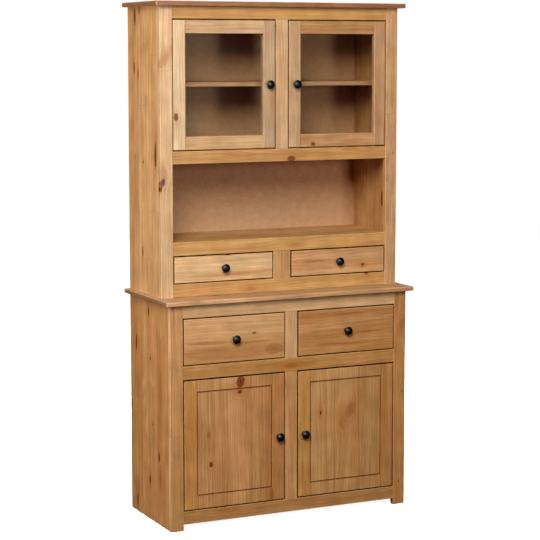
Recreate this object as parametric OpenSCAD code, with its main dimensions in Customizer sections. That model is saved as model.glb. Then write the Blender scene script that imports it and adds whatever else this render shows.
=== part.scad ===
// Two-part pine dresser: a base with drawers and panel doors, and a hutch on its counter.
// Origin: floor level, middle of the whole outline. +X right, +Z up, the front looks to -Y.

/* [Whole dresser] */
// Height from the floor to the top of the cornice
total_h = 1800; // [1700:10:2000]
// Width across the two side panels
body_w = 912; // [840:4:1160]
// Depth of the base from its face frame to its back
base_d = 374; // [340:2:460]
// Depth of the hutch from its face frame to its back
hutch_d = 298; // [260:2:330]
// Height of the base below the counter
base_h = 780; // [730:5:860]
// How far the counter and the cornice stand out at each side
side_over = 21; // [10:1:35]
// How far the counter stands out in front of the base
counter_over = 22; // [12:1:35]
// How far the cornice stands out in front of the hutch
cornice_over = 24; // [12:1:35]

/* [Boards] */
// Thickness of the counter and of the cornice
top_t = 16; // [14:1:24]
// Radius along the upper edge of the counter and the cornice
top_edge_r = 5; // [2:0.5:6]
// Thickness of the side panels
side_t = 16; // [14:1:22]
// Thickness of the shelves and the floor boards
shelf_t = 16; // [14:1:22]
// Thickness of the back panels
back_t = 4; // [3:0.5:6]
// How far a back panel laps into each side panel
back_lap = 8; // [4:0.5:10]
// Radius of the eased front edges
arris_r = 2; // [1:0.5:3]

/* [Face frames] */
// Thickness of the face frames
frame_t = 18; // [16:1:24]
// How far the rails and mullions lie behind the face of the stiles
rail_set = 1; // [0.5:0.25:2]
// Width of the base's stiles, which run down as its front feet
base_stile_w = 47; // [40:1:60]
// Width of the hutch's stiles
hutch_stile_w = 45; // [40:1:60]
// Gap between the floor and the base's bottom rail
foot_h = 22; // [10:1:60]
// Height of the base's bottom rail
base_bottom_rail_h = 45; // [35:1:70]
// Height of the rail between the base's doors and drawers
base_mid_rail_h = 47; // [35:1:60]
// Height of the base's top rail
base_top_rail_h = 46; // [35:1:60]
// Height of the rail that the hutch stands on
hutch_bottom_rail_h = 45; // [35:1:60]
// Height of the rail below the open niche
niche_rail_h = 47; // [35:1:60]
// Height of the rail below the glazed doors
cupboard_rail_h = 44; // [35:1:60]
// Height of the hutch's top rail
hutch_top_rail_h = 43; // [35:1:60]
// Width of the mullions between the doors and between the base's drawers
mullion_w = 46; // [36:1:60]
// Width of the mullion between the hutch's drawers
hutch_drawer_mullion_w = 66; // [50:1:80]

/* [Tenons] */
// How far the tenons of rails and mullions go into the piece that holds them
tenon_l = 12; // [8:1:15]
// Thickness of the tenons
tenon_t = 8; // [6:0.5:9]
// Width of the shoulder at each edge of a tenon
tenon_shoulder = 7; // [4:0.5:10]

/* [Openings] */
// Height of the base's drawer openings
base_drawer_h = 164; // [120:1:190]
// Height of the hutch's drawer openings
hutch_drawer_h = 97; // [80:1:120]
// Height of the open niche
niche_h = 266; // [200:2:300]

/* [Doors] */
// Thickness of the doors
door_t = 20; // [18:0.5:22]
// Gap round the doors and drawer fronts
door_gap = 4; // [2.5:0.25:4.5]
// Gap between a door or drawer front and the mullion beside it
lock_gap = 4.5; // [3:0.25:5.5]
// Width of the stiles of the glazed doors
glazed_stile_w = 44; // [38:1:55]
// Height of the rails of the glazed doors
glazed_rail_h = 45; // [38:1:60]
// Thickness of the panes
glass_t = 4; // [3:0.5:5]
// Width of the rebate that holds a pane
rebate_w = 8; // [5:0.5:12]
// Width of the stiles of the panel doors
panel_stile_w = 49; // [42:1:60]
// Width of the groove that frames the raised field of a panel door
groove_w = 7; // [3:0.5:9]
// Depth of that groove
groove_deep = 4; // [2:0.5:5]
// From the top of a panel door down to the groove
groove_top = 42; // [35:1:70]
// From the bottom of a panel door up to the groove
groove_bottom = 47; // [35:1:80]

/* [Pivots] */
// Radius of the pivot pins that the doors turn on
pin_r = 2.5; // [2:0.25:2.75]
// How deep a pivot pin goes into the door and into the rail
pin_deep = 12; // [8:1:15]
// From the pivot to the hinge edge and to the front of the door
pin_inset = 7; // [6.5:0.25:7.25]
// Radius of the collar that a door rests on
collar_r = 5; // [4:0.25:5.5]
// Running clearance round a pivot pin
pin_play = 0.05; // [0.03:0.01:0.08]

/* [Drawers] */
// Thickness of the drawer fronts
drawer_front_t = 18; // [15:1:20]
// Thickness of the sides and the back of a drawer box
drawer_side_t = 12; // [10:1:15]
// Thickness of a drawer's bottom
drawer_bottom_t = 4; // [3:0.5:6]
// From the lower edge of a drawer's sides up to its bottom
drawer_bottom_z = 8; // [6:0.5:12]
// Depth of the groove that holds a drawer's bottom
drawer_groove = 5; // [3:0.5:6]
// Room above a drawer's sides
drawer_headroom = 18; // [10:1:30]
// From the end of a drawer box to the back panel
drawer_tail = 22; // [10:1:60]
// Room between a drawer side and its guide
guide_play = 1; // [0.5:0.25:1.5]
// Thickness of the runners
runner_t = 16; // [12:1:20]
// Height of the guide beside a drawer
guide_h = 20; // [12:1:30]

/* [Knobs] */
// Diameter of a knob's head
knob_d = 30; // [24:1:36]
// How far a knob stands out
knob_reach = 25; // [20:1:32]
// Height of the dome on a knob's head
knob_dome = 6; // [4:0.5:8]
// Thickness of the rim of a knob's head
knob_rim = 5; // [3:0.5:6]
// Diameter of a knob's foot
knob_foot_d = 19; // [14:1:22]
// Thickness of a knob's foot
knob_foot_t = 3; // [2:0.5:4]
// Diameter of a knob's waist
knob_neck_d = 10; // [8:0.5:12]
// From the lock edge of a glazed door to its knob
glazed_knob_in = 24; // [18:1:30]
// From the lock edge of a panel door to its knob
panel_knob_in = 22; // [17:1:30]
// Radius of the screw that holds a knob
knob_screw_r = 2; // [1.5:0.25:2.5]

/* [Shelves] */
// From the floor of the glazed cupboard up to the top of its shelf
hutch_shelf_up = 232; // [120:2:360]
// From the floor of the lower cupboard up to the top of its shelf
base_shelf_up = 236; // [120:2:360]
// From the back of the doors to the front edge of the shelves
shelf_back_set = 24; // [12:1:60]
// Radius of the shelf pins
shelf_pin_r = 2.5; // [2:0.25:3]
// How far a shelf pin stands out of the side panel
shelf_pin_out = 9; // [6:0.5:12]
// How deep a shelf pin goes into the side panel
shelf_pin_in = 9; // [5:0.5:11]

/* [Hidden] */
$fn = 48;

// Small amount that a cutting shape runs past a face
eps = 1;
// Gap that keeps the glued pieces of one node apart
glue_gap = 0.1;
// Room round a tenon in its mortise
tenon_play = 0.1;
LEFT = -1;
RIGHT = 1;

// Depth: the face of the base, the face of the hutch and the common back
face_y = (max(knob_reach, counter_over) - base_d) / 2;
back_y = face_y + base_d;
hutch_y = back_y - hutch_d;

// Heights of the base, each the underside of an opening or a rail
base_door_z = foot_h + base_bottom_rail_h;
base_drawer_z = base_h - base_top_rail_h - base_drawer_h;
base_mid_rail_z = base_drawer_z - base_mid_rail_h;
base_door_h = base_mid_rail_z - base_door_z;

// Heights of the hutch
hutch_z = base_h + top_t;
cornice_z = total_h - top_t;
hutch_drawer_z = hutch_z + hutch_bottom_rail_h;
niche_rail_z = hutch_drawer_z + hutch_drawer_h;
niche_z = niche_rail_z + niche_rail_h;
cupboard_rail_z = niche_z + niche_h;
glazed_z = cupboard_rail_z + cupboard_rail_h;
hutch_top_rail_z = cornice_z - hutch_top_rail_h;
glazed_h = hutch_top_rail_z - glazed_z;
hutch_body_h = cornice_z - hutch_z;

// Rails of each face frame, from the bottom up: the underside and the height of each
base_rails = [[foot_h, base_bottom_rail_h], [base_mid_rail_z, base_mid_rail_h],
    [base_h - base_top_rail_h, base_top_rail_h]];
hutch_rails = [[hutch_z, hutch_bottom_rail_h], [niche_rail_z, niche_rail_h],
    [cupboard_rail_z, cupboard_rail_h], [hutch_top_rail_z, hutch_top_rail_h]];

// Clear widths
inner_w = body_w - 2 * side_t;
base_frame_in = body_w / 2 - base_stile_w;
hutch_frame_in = body_w / 2 - hutch_stile_w;
base_opening_w = base_frame_in - mullion_w / 2;
glazed_opening_w = hutch_frame_in - mullion_w / 2;
hutch_drawer_opening_w = hutch_frame_in - hutch_drawer_mullion_w / 2;

// Doors and drawer fronts, less the gaps round them
gap_w = door_gap + lock_gap;
panel_door_w = base_opening_w - gap_w;
panel_door_h = base_door_h - 2 * door_gap;
glazed_door_w = glazed_opening_w - gap_w;
glazed_door_h = glazed_h - 2 * door_gap;
pane_w = glazed_door_w - 2 * glazed_stile_w + 2 * rebate_w;
pane_h = glazed_door_h - 2 * glazed_rail_h + 2 * rebate_w;
// How much larger the rebate is than its pane
pane_play = 0.5;

// Drawer boxes
box_inset = 1;
base_box_len = base_d - back_t - drawer_front_t - drawer_tail;
hutch_box_len = hutch_d - back_t - drawer_front_t - drawer_tail;
// How much lower the back of a drawer box is than its sides
box_back_drop = 8;
// How far a runner reaches in under a drawer's side
runner_reach = 4;
// Gap between the end of a drawer box and its stop
stop_gap = 0.5;
stop_h = 14;

// Shelf tops and the room round a shelf
base_shelf_z = base_door_z + base_shelf_up;
hutch_shelf_z = glazed_z + hutch_shelf_up;
shelf_side_gap = 1;
shelf_pin_from_edge = 45;
fit_play = 0.05;

// Glazing clips, the small plates that hold a pane
clip_l = 22;
clip_w = 12;
clip_t = 2;
clip_screw_r = 3.5;
clip_screw_t = 1.5;

// Magnetic catches behind the mullions
catch_w = 38;
catch_h = 14;
catch_t = 13;
catch_from_top = 30;
catch_touch = 0.3;
// How far a catch reaches in behind the mullion
catch_lap = 15;

// Knob screw
screw_head_r = 4.5;
screw_head_t = 2.5;
screw_in_knob = 9;
screw_play = 0.1;

PINE = "#D3A064";
PINE_DARK = "#B9824C";
PINE_LIGHT = "#DDB27A";
BOARD = "#B98A62";
BRONZE = "#1E1A1C";
STEEL = "#B8B8B4";
GLASS = "#BFD2D022";

// Board outline seen from above, with its two front corners eased
module eased_plan(w, d, r) {
    translate([0, r]) square([w, d - r]);
    translate([r, 0]) square([w - 2 * r, r]);
    for (x = [r, w - r]) translate([x, r]) circle(r);
}

// Upright board with eased long front edges
module upright(w, d, h, r = arris_r) {
    linear_extrude(h) eased_plan(w, d, r);
}

// Level board with eased long front edges
module level(w, d, h, r = arris_r) {
    translate([w, 0, 0]) rotate([0, -90, 0]) linear_extrude(w) eased_plan(h, d, r);
}

// Board with all four front edges eased
module soft_board(w, d, h, r = arris_r) {
    intersection() {
        upright(w, d, h, r);
        level(w, d, h, r);
    }
}

// Draws a right-hand piece, or its mirror image for the left
module on_side(s) {
    mirror([s == LEFT ? 1 : 0, 0, 0]) children();
}

// Counter or cornice: square at the back, rounded along the front and both ends
module top_board(w, d, t) {
    low_r = min(top_edge_r * 0.6, t / 2 - 0.5);
    high_r = min(top_edge_r, t / 2 - 0.5);
    intersection() {
        // seen from the side
        translate([w, 0, 0]) rotate([0, -90, 0]) linear_extrude(w) {
            translate([0, high_r]) square([t, d - high_r]);
            translate([low_r, 0]) square([t - low_r - high_r, high_r + eps]);
            translate([low_r, low_r]) circle(low_r);
            translate([low_r, low_r]) square([t - low_r, high_r]);
            translate([t - high_r, high_r]) circle(high_r);
        }
        // seen from the front
        translate([0, d, 0]) rotate([90, 0, 0]) linear_extrude(d) {
            translate([high_r, 0]) square([w - 2 * high_r, t]);
            translate([0, low_r]) square([w, t - low_r - high_r]);
            for (x = [low_r, w - low_r]) translate([x, low_r]) circle(low_r);
            translate([low_r, 0]) square([w - 2 * low_r, low_r + eps]);
            for (x = [high_r, w - high_r]) translate([x, t - high_r]) circle(high_r);
        }
        // seen from above
        linear_extrude(t) eased_plan(w, d, high_r);
    }
}

// Side panel with a rebate for the back panel and holes for the shelf pins
module side_panel(d, h, front_y, z0, pin_z, pin_y0, pin_y1) {
    difference() {
        translate([inner_w / 2, front_y, z0]) cube([side_t, d, h]);
        translate([inner_w / 2 - eps, back_y - back_t, z0 - eps])
            cube([back_lap + eps, back_t + eps, h + 2 * eps]);
        for (y = [pin_y0, pin_y1])
            translate([inner_w / 2 - eps, y, pin_z]) rotate([0, 90, 0])
                cylinder(h = shelf_pin_in + eps, r = shelf_pin_r + fit_play);
    }
}

// Where the shelf pins stand: under each shelf, near its front and back edge
function shelf_front(face) = face + door_t + shelf_back_set;
function pin_front(face) = shelf_front(face) + shelf_pin_from_edge;
pin_back = back_y - back_t - shelf_pin_from_edge;
base_pin_z = base_shelf_z - shelf_t - shelf_pin_r;
hutch_pin_z = hutch_shelf_z - shelf_t - shelf_pin_r;

module base_side(s) {
    on_side(s) side_panel(base_d - frame_t, base_h, face_y + frame_t, 0,
        base_pin_z, pin_front(face_y), pin_back);
}

module hutch_side(s) {
    on_side(s) side_panel(hutch_d - frame_t, hutch_body_h, hutch_y + frame_t, hutch_z,
        hutch_pin_z, pin_front(hutch_y), pin_back);
}

module base_side_left() { color(PINE_DARK) base_side(LEFT); }
module base_side_right() { color(PINE_DARK) base_side(RIGHT); }
module hutch_side_left() { color(PINE_DARK) hutch_side(LEFT); }
module hutch_side_right() { color(PINE_DARK) hutch_side(RIGHT); }

// Tenon that runs along +X from the end of a rail of height h; with play it is a mortise
module tenon(h, play = 0) {
    translate([-eps, -play, tenon_shoulder - play])
        cube([tenon_l + eps + play, tenon_t + 2 * play, h - 2 * tenon_shoulder + 2 * play]);
}

// Tenon that stands on the upper end of a mullion of width w; with play it is a mortise
module upright_tenon(w, play = 0) {
    translate([w / 2, 0, 0]) rotate([0, -90, 0]) tenon(w, play);
}

// How far behind the face of the stiles the tenons of a face frame start
frame_tenon_y = rail_set + (frame_t - rail_set - tenon_t) / 2;

// Stiles of the two face frames, with mortises for their rails
module frame_stile(frame_in, w, face, z, h, rails) {
    difference() {
        translate([frame_in, face, z]) upright(w, frame_t, h);
        for (rail = rails)
            translate([frame_in, face + frame_tenon_y, rail[0]]) tenon(rail[1], tenon_play);
    }
}

module base_stile(s) {
    on_side(s) frame_stile(base_frame_in, base_stile_w, face_y, 0, base_h, base_rails);
}

module hutch_stile(s) {
    on_side(s) frame_stile(hutch_frame_in, hutch_stile_w, hutch_y, hutch_z, hutch_body_h,
        hutch_rails);
}

module base_stile_left() { color(PINE_LIGHT) base_stile(LEFT); }
module base_stile_right() { color(PINE_LIGHT) base_stile(RIGHT); }
module hutch_stile_left() { color(PINE_LIGHT) hutch_stile(LEFT); }
module hutch_stile_right() { color(PINE_LIGHT) hutch_stile(RIGHT); }

// Rail between the stiles, a little behind their face, with pivot holes where doors turn and
// with mortises for mullions of the widths under and over
module frame_rail(half_w, face, z, h, holes_at = 0, holes_up = false, under = 0, over = 0) {
    difference() {
        union() {
            translate([-half_w, face + rail_set, z]) level(2 * half_w, frame_t - rail_set, h);
            for (s = [LEFT, RIGHT])
                on_side(s) translate([half_w, face + frame_tenon_y, z]) tenon(h);
        }
        if (under > 0)
            translate([0, face + frame_tenon_y, z]) upright_tenon(under, tenon_play);
        if (over > 0)
            translate([0, face + frame_tenon_y, z + h]) mirror([0, 0, 1])
                upright_tenon(over, tenon_play);
        if (holes_at > 0)
            for (s = [LEFT, RIGHT])
                translate([s * holes_at, face + pin_inset, holes_up ? z + h - pin_deep : z - eps])
                    cylinder(h = pin_deep + eps, r = pin_r + pin_play);
    }
}

base_pivot_x = base_frame_in - door_gap - pin_inset;
glazed_pivot_x = hutch_frame_in - door_gap - pin_inset;

module base_top_rail() {
    color(PINE) frame_rail(base_frame_in, face_y, base_h - base_top_rail_h, base_top_rail_h,
        under = mullion_w);
}

module base_mid_rail() {
    color(PINE) frame_rail(base_frame_in, face_y, base_mid_rail_z, base_mid_rail_h,
        base_pivot_x, false, mullion_w, mullion_w);
}

module base_bottom_rail() {
    color(PINE) frame_rail(base_frame_in, face_y, foot_h, base_bottom_rail_h,
        base_pivot_x, true, over = mullion_w);
}

module hutch_top_rail() {
    color(PINE) frame_rail(hutch_frame_in, hutch_y, hutch_top_rail_z, hutch_top_rail_h,
        glazed_pivot_x, false, under = mullion_w);
}

module cupboard_rail() {
    color(PINE) frame_rail(hutch_frame_in, hutch_y, cupboard_rail_z, cupboard_rail_h,
        glazed_pivot_x, true, over = mullion_w);
}

module niche_rail() {
    color(PINE) frame_rail(hutch_frame_in, hutch_y, niche_rail_z, niche_rail_h,
        under = hutch_drawer_mullion_w);
}

module hutch_bottom_rail() {
    color(PINE) frame_rail(hutch_frame_in, hutch_y, hutch_z, hutch_bottom_rail_h,
        over = hutch_drawer_mullion_w);
}

// Mullion between two rails, with a tenon in each
module mullion(w, face, z, h) {
    translate([-w / 2, face + rail_set, z]) upright(w, frame_t - rail_set, h);
    translate([0, face + frame_tenon_y, z + h]) upright_tenon(w);
    translate([0, face + frame_tenon_y, z]) mirror([0, 0, 1]) upright_tenon(w);
}

module base_drawer_mullion() {
    color(PINE_LIGHT) mullion(mullion_w, face_y, base_drawer_z, base_drawer_h);
}

module base_door_mullion() {
    color(PINE_LIGHT) mullion(mullion_w, face_y, base_door_z, base_door_h);
}

module hutch_drawer_mullion() {
    color(PINE_LIGHT) mullion(hutch_drawer_mullion_w, hutch_y, hutch_drawer_z, hutch_drawer_h);
}

module hutch_door_mullion() {
    color(PINE_LIGHT) mullion(mullion_w, hutch_y, glazed_z, glazed_h);
}

// Boards between the side panels, behind the face frame
module inner_board(face, top_z) {
    translate([-inner_w / 2, face + frame_t, top_z - shelf_t])
        cube([inner_w, back_y - back_t - face - frame_t, shelf_t]);
}

module base_floor() { color(PINE_DARK) inner_board(face_y, base_door_z); }
module niche_floor() { color(PINE_DARK) inner_board(hutch_y, niche_z); }
module cupboard_floor() { color(PINE_DARK) inner_board(hutch_y, glazed_z); }

// Shelf that lies on four pins, its front edge eased
module loose_shelf(face, top_z) {
    w = inner_w - 2 * shelf_side_gap;
    translate([-w / 2, shelf_front(face), top_z - shelf_t])
        level(w, back_y - back_t - shelf_front(face), shelf_t);
}

module base_shelf() { color(PINE) loose_shelf(face_y, base_shelf_z); }
module hutch_shelf() { color(PINE) loose_shelf(hutch_y, hutch_shelf_z); }

module shelf_pins() {
    color(STEEL)
        for (s = [LEFT, RIGHT], row = [[base_pin_z, pin_front(face_y)], [base_pin_z, pin_back],
                                       [hutch_pin_z, pin_front(hutch_y)], [hutch_pin_z, pin_back]])
            on_side(s) translate([inner_w / 2 - shelf_pin_out, row[1], row[0]]) rotate([0, 90, 0])
                cylinder(h = shelf_pin_out + shelf_pin_in, r = shelf_pin_r);
}

// Thin back panels, let into the rebates of the side panels
module back_panel(z0, z1) {
    w = inner_w + 2 * back_lap;
    translate([-w / 2, back_y - back_t, z0]) cube([w, back_t, z1 - z0]);
}

module base_back() { color(BOARD) back_panel(base_door_z - shelf_t, base_h); }
module hutch_back() { color(BOARD) back_panel(hutch_z, cornice_z); }

// Counter and cornice
module counter() {
    w = body_w + 2 * side_over;
    color(PINE) translate([-w / 2, face_y - counter_over, base_h])
        top_board(w, base_d + counter_over, top_t);
}

module cornice() {
    w = body_w + 2 * side_over;
    color(PINE) translate([-w / 2, hutch_y - cornice_over, cornice_z])
        top_board(w, hutch_d + cornice_over, top_t);
}

// Section of the runner beside a side panel: a ledge and the guide that stands on it
module side_runner_section(frame_in) {
    side_x = frame_in - door_gap - box_inset;
    ledge_x = side_x - drawer_side_t - runner_reach;
    guide_x = side_x + guide_play;
    polygon([[ledge_x, -runner_t], [inner_w / 2, -runner_t], [inner_w / 2, guide_h],
             [guide_x, guide_h], [guide_x, 0], [ledge_x, 0]]);
}

// Section of the runner between two drawers: a ledge for each with one guide
module centre_runner_section(mid_w) {
    side_x = mid_w / 2 + lock_gap + box_inset;
    ledge_x = side_x + drawer_side_t + runner_reach;
    guide_x = side_x - guide_play;
    polygon([[-ledge_x, -runner_t], [ledge_x, -runner_t], [ledge_x, 0], [guide_x, 0],
             [guide_x, guide_h], [-guide_x, guide_h], [-guide_x, 0], [-ledge_x, 0]]);
}

// Full width of each ledge, for the stop behind the drawer box
module side_stop_section(frame_in) {
    ledge_x = frame_in - door_gap - box_inset - drawer_side_t - runner_reach;
    translate([ledge_x, -runner_t]) square([inner_w / 2 - ledge_x, runner_t + stop_h]);
}

module centre_stop_section(mid_w) {
    ledge_x = mid_w / 2 + lock_gap + box_inset + drawer_side_t + runner_reach;
    translate([-ledge_x, -runner_t]) square([2 * ledge_x, runner_t + stop_h]);
}

// Sweeps a section from one depth back to another
module sweep_back(y0, y1, z) {
    translate([0, y1, z]) rotate([90, 0, 0]) linear_extrude(y1 - y0) children();
}

module runner_row(frame_in, mid_w, face, z, box_len) {
    y0 = face + frame_t;
    y1 = back_y - back_t;
    stop_y = face + drawer_front_t + box_len + stop_gap;
    for (s = [LEFT, RIGHT]) on_side(s) {
        sweep_back(y0, y1, z) side_runner_section(frame_in);
        sweep_back(stop_y, y1, z) side_stop_section(frame_in);
    }
    sweep_back(y0, y1, z) centre_runner_section(mid_w);
    sweep_back(stop_y, y1, z) centre_stop_section(mid_w);
}

module drawer_runners() {
    color(PINE_DARK) {
        runner_row(base_frame_in, mullion_w, face_y, base_drawer_z, base_box_len);
        runner_row(hutch_frame_in, hutch_drawer_mullion_w, hutch_y, hutch_drawer_z,
            hutch_box_len);
    }
}

// Pivot pins: the lower one of each door has a collar that the door rests on
module pivot_pair(x, face, z, h) {
    translate([x, face + pin_inset, z - pin_deep]) {
        cylinder(h = 2 * pin_deep + door_gap, r = pin_r);
        translate([0, 0, pin_deep]) cylinder(h = door_gap, r = collar_r);
    }
    translate([x, face + pin_inset, z + h - door_gap - pin_deep])
        cylinder(h = 2 * pin_deep + door_gap, r = pin_r);
}

module pivot_pins() {
    color(STEEL)
        for (s = [LEFT, RIGHT]) {
            pivot_pair(s * base_pivot_x, face_y, base_door_z, base_door_h);
            pivot_pair(s * glazed_pivot_x, hutch_y, glazed_z, glazed_h);
        }
}

// Cuts the pivot sockets into a door that starts at x = 0 at its lock edge
module door_sockets(w, h) {
    for (z = [-eps, h - pin_deep])
        translate([w - pin_inset, pin_inset, z])
            cylinder(h = pin_deep + eps, r = pin_r + pin_play);
}

// Magnetic catch: fixed behind the mullion, with the door resting against its lip
module door_catch(face, top_z) {
    x0 = mullion_w / 2 - catch_lap;
    translate([x0, face, top_z - catch_from_top - catch_h]) linear_extrude(catch_h)
        polygon([[0, frame_t], [catch_lap, frame_t], [catch_lap, door_t + catch_touch],
                 [catch_w, door_t + catch_touch], [catch_w, frame_t + catch_t],
                 [0, frame_t + catch_t]]);
}

module door_catches() {
    color("white")
        for (s = [LEFT, RIGHT]) on_side(s) {
            door_catch(face_y, base_mid_rail_z);
            door_catch(hutch_y, hutch_top_rail_z);
        }
}

// Turned knob with its screw; the foot sits on z = 0 and the knob stands up from it
module knob_profile() {
    r = knob_d / 2;
    foot_r = knob_foot_d / 2;
    neck_r = knob_neck_d / 2;
    rim_x = r - knob_rim / 2;
    head_y = knob_reach - knob_dome - knob_rim;
    neck_l = head_y - knob_foot_t;
    dome_r = (pow(rim_x, 2) + pow(knob_dome, 2)) / (2 * knob_dome);
    waist_in = foot_r - neck_r;
    waist_r = (pow(waist_in, 2) + pow(neck_l / 2, 2)) / (2 * waist_in);
    square([foot_r, knob_foot_t]);
    difference() {
        translate([0, knob_foot_t]) square([foot_r, neck_l]);
        translate([neck_r + waist_r, knob_foot_t + neck_l / 2]) circle(waist_r);
    }
    translate([0, head_y]) square([rim_x, knob_rim]);
    translate([rim_x, head_y + knob_rim / 2]) circle(knob_rim / 2);
    intersection() {
        translate([0, knob_reach - dome_r]) circle(dome_r, $fn = 96);
        translate([0, head_y + knob_rim]) square([rim_x, knob_dome]);
    }
}

module knob(board_t) {
    rotate([90, 0, 0]) {
        difference() {
            rotate_extrude() intersection() {
                knob_profile();
                square([knob_d, knob_reach]);
            }
            translate([0, 0, -eps])
                cylinder(h = screw_in_knob + eps + screw_play, r = knob_screw_r + fit_play);
        }
        translate([0, 0, -board_t]) cylinder(h = board_t + screw_in_knob, r = knob_screw_r);
        translate([0, 0, -board_t - screw_head_t]) cylinder(h = screw_head_t, r = screw_head_r);
    }
}

// Hole for a knob's screw through a board of thickness t
module knob_hole(t) {
    translate([0, t + eps, 0]) rotate([90, 0, 0])
        cylinder(h = t + 2 * eps, r = knob_screw_r + screw_play);
}

// Places a door, drawn from its lower lock corner, in its opening
module in_base_doorway(s) {
    on_side(s) translate([mullion_w / 2 + lock_gap, face_y, base_door_z + door_gap]) children();
}

module in_glazed_doorway(s) {
    on_side(s) translate([mullion_w / 2 + lock_gap, hutch_y, glazed_z + door_gap]) children();
}

// Room that a pane takes in the frame of its door
module pane_room(play) {
    translate([glazed_stile_w - rebate_w - play, door_t - glass_t, glazed_rail_h - rebate_w - play])
        cube([pane_w + 2 * play, glass_t + (play > 0 ? eps : 0), pane_h + 2 * play]);
}

// Tenons of a glazed door's rails, in front of the pane; with play they are the mortises
module glazed_tenons(play = 0) {
    y = (door_t - glass_t - tenon_t) / 2;
    for (z = [0, glazed_door_h - glazed_rail_h]) {
        translate([glazed_stile_w, y, z]) mirror([1, 0, 0]) tenon(glazed_rail_h, play);
        translate([glazed_door_w - glazed_stile_w, y, z]) tenon(glazed_rail_h, play);
    }
}

module glazed_stiles(s) {
    in_glazed_doorway(s) difference() {
        for (x = [0, glazed_door_w - glazed_stile_w])
            translate([x, 0, 0]) soft_board(glazed_stile_w, door_t, glazed_door_h);
        glazed_tenons(tenon_play);
        pane_room(pane_play);
        door_sockets(glazed_door_w, glazed_door_h);
        translate([glazed_knob_in, 0, glazed_door_h / 2]) knob_hole(door_t);
    }
}

module glazed_rails(s) {
    in_glazed_doorway(s) difference() {
        union() {
            for (z = [0, glazed_door_h - glazed_rail_h])
                translate([glazed_stile_w, 0, z])
                    level(glazed_door_w - 2 * glazed_stile_w, door_t, glazed_rail_h);
            glazed_tenons();
        }
        pane_room(pane_play);
    }
}

module glazed_pane(s) {
    in_glazed_doorway(s) pane_room(0);
}

// One clip: a round-ended tab with a screw head, lapping over the pane
module clip() {
    translate([0, clip_t, 0]) rotate([90, 0, 0]) {
        linear_extrude(clip_t) {
            translate([-clip_w / 2, 0]) square([clip_w, clip_l - clip_w / 2]);
            translate([0, clip_l - clip_w / 2]) circle(clip_w / 2);
        }
        translate([0, clip_w / 2, -clip_screw_t]) cylinder(h = clip_screw_t, r = clip_screw_r);
    }
}

module glazed_clips(s) {
    from_pane = clip_l * 0.6;
    in_glazed_doorway(s) for (z = [glazed_door_h * 0.25, glazed_door_h * 0.75]) {
        translate([glazed_stile_w - rebate_w - from_pane, door_t, z]) rotate([0, 90, 0]) clip();
        translate([glazed_door_w - glazed_stile_w + rebate_w + from_pane, door_t, z])
            rotate([0, -90, 0]) clip();
    }
}

module glazed_knob(s) {
    in_glazed_doorway(s) translate([glazed_knob_in, 0, glazed_door_h / 2]) knob(door_t);
}

// Solid block with four sloping sides: half sizes (a0, b0) at the face, (a1, b1) at the depth
module sloped_block(a0, b0, a1, b1, deep) {
    over = 1;
    fa = a0 + (a0 - a1) * over / deep;
    fb = b0 + (b0 - b1) * over / deep;
    big = 2 * max(a0, a1, b0, b1) + 10;
    intersection() {
        translate([0, 0, -big / 2]) linear_extrude(big)
            polygon([[-fa, -over], [fa, -over], [a1, deep], [-a1, deep]]);
        translate([big / 2, 0, 0]) rotate([0, -90, 0]) linear_extrude(big)
            polygon([[-fb, -over], [fb, -over], [b1, deep], [-b1, deep]]);
    }
}

// Mitred V groove whose middle line is a rectangle of w by h
module groove_ring(w, h) {
    g = groove_w / 2;
    difference() {
        sloped_block(w / 2 + g, h / 2 + g, w / 2, h / 2, groove_deep);
        sloped_block(w / 2 - g, h / 2 - g, w / 2, h / 2, groove_deep);
    }
}

// The whole panel door before it is divided into its boards
module panel_door() {
    ring_w = panel_door_w - 2 * panel_stile_w;
    ring_h = panel_door_h - groove_top - groove_bottom;
    difference() {
        soft_board(panel_door_w, door_t, panel_door_h);
        translate([panel_door_w / 2, 0, groove_bottom + ring_h / 2]) groove_ring(ring_w, ring_h);
        door_sockets(panel_door_w, panel_door_h);
        translate([panel_knob_in, 0, panel_door_h / 2]) knob_hole(door_t);
    }
}

module door_slice(x0, x1) {
    intersection() {
        panel_door();
        translate([x0, -eps, -eps]) cube([x1 - x0, door_t + 2 * eps, panel_door_h + 2 * eps]);
    }
}

module panel_stiles(s) {
    in_base_doorway(s) {
        door_slice(-eps, panel_stile_w);
        door_slice(panel_door_w - panel_stile_w, panel_door_w + eps);
    }
}

module panel_field(s) {
    in_base_doorway(s) door_slice(panel_stile_w, panel_door_w - panel_stile_w);
}

module panel_knob(s) {
    in_base_doorway(s) translate([panel_knob_in, 0, panel_door_h / 2]) knob(door_t);
}

// Places a drawer, drawn from the lower corner of its opening beside the mullion
module in_base_drawer(s) {
    on_side(s) translate([mullion_w / 2, face_y, base_drawer_z]) children();
}

module in_hutch_drawer(s) {
    on_side(s) translate([hutch_drawer_mullion_w / 2, hutch_y, hutch_drawer_z]) children();
}

// Bottom of a drawer: let into its sides and its front, and running out under its back
module drawer_bottom(w, len, play) {
    x0 = lock_gap + box_inset + drawer_side_t - drawer_groove;
    x1 = w - door_gap - box_inset - drawer_side_t + drawer_groove;
    translate([x0 - play, drawer_front_t - drawer_groove - play, drawer_bottom_z - play])
        cube([x1 - x0 + 2 * play, len + drawer_groove + play + (play > 0 ? eps : 0),
              drawer_bottom_t + 2 * play]);
}

module drawer_front(w, h, len) {
    difference() {
        translate([lock_gap, 0, door_gap])
            soft_board(w - gap_w, drawer_front_t, h - 2 * door_gap);
        drawer_bottom(w, len, glue_gap);
        translate([w / 2, 0, h / 2]) knob_hole(drawer_front_t);
    }
}

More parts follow.
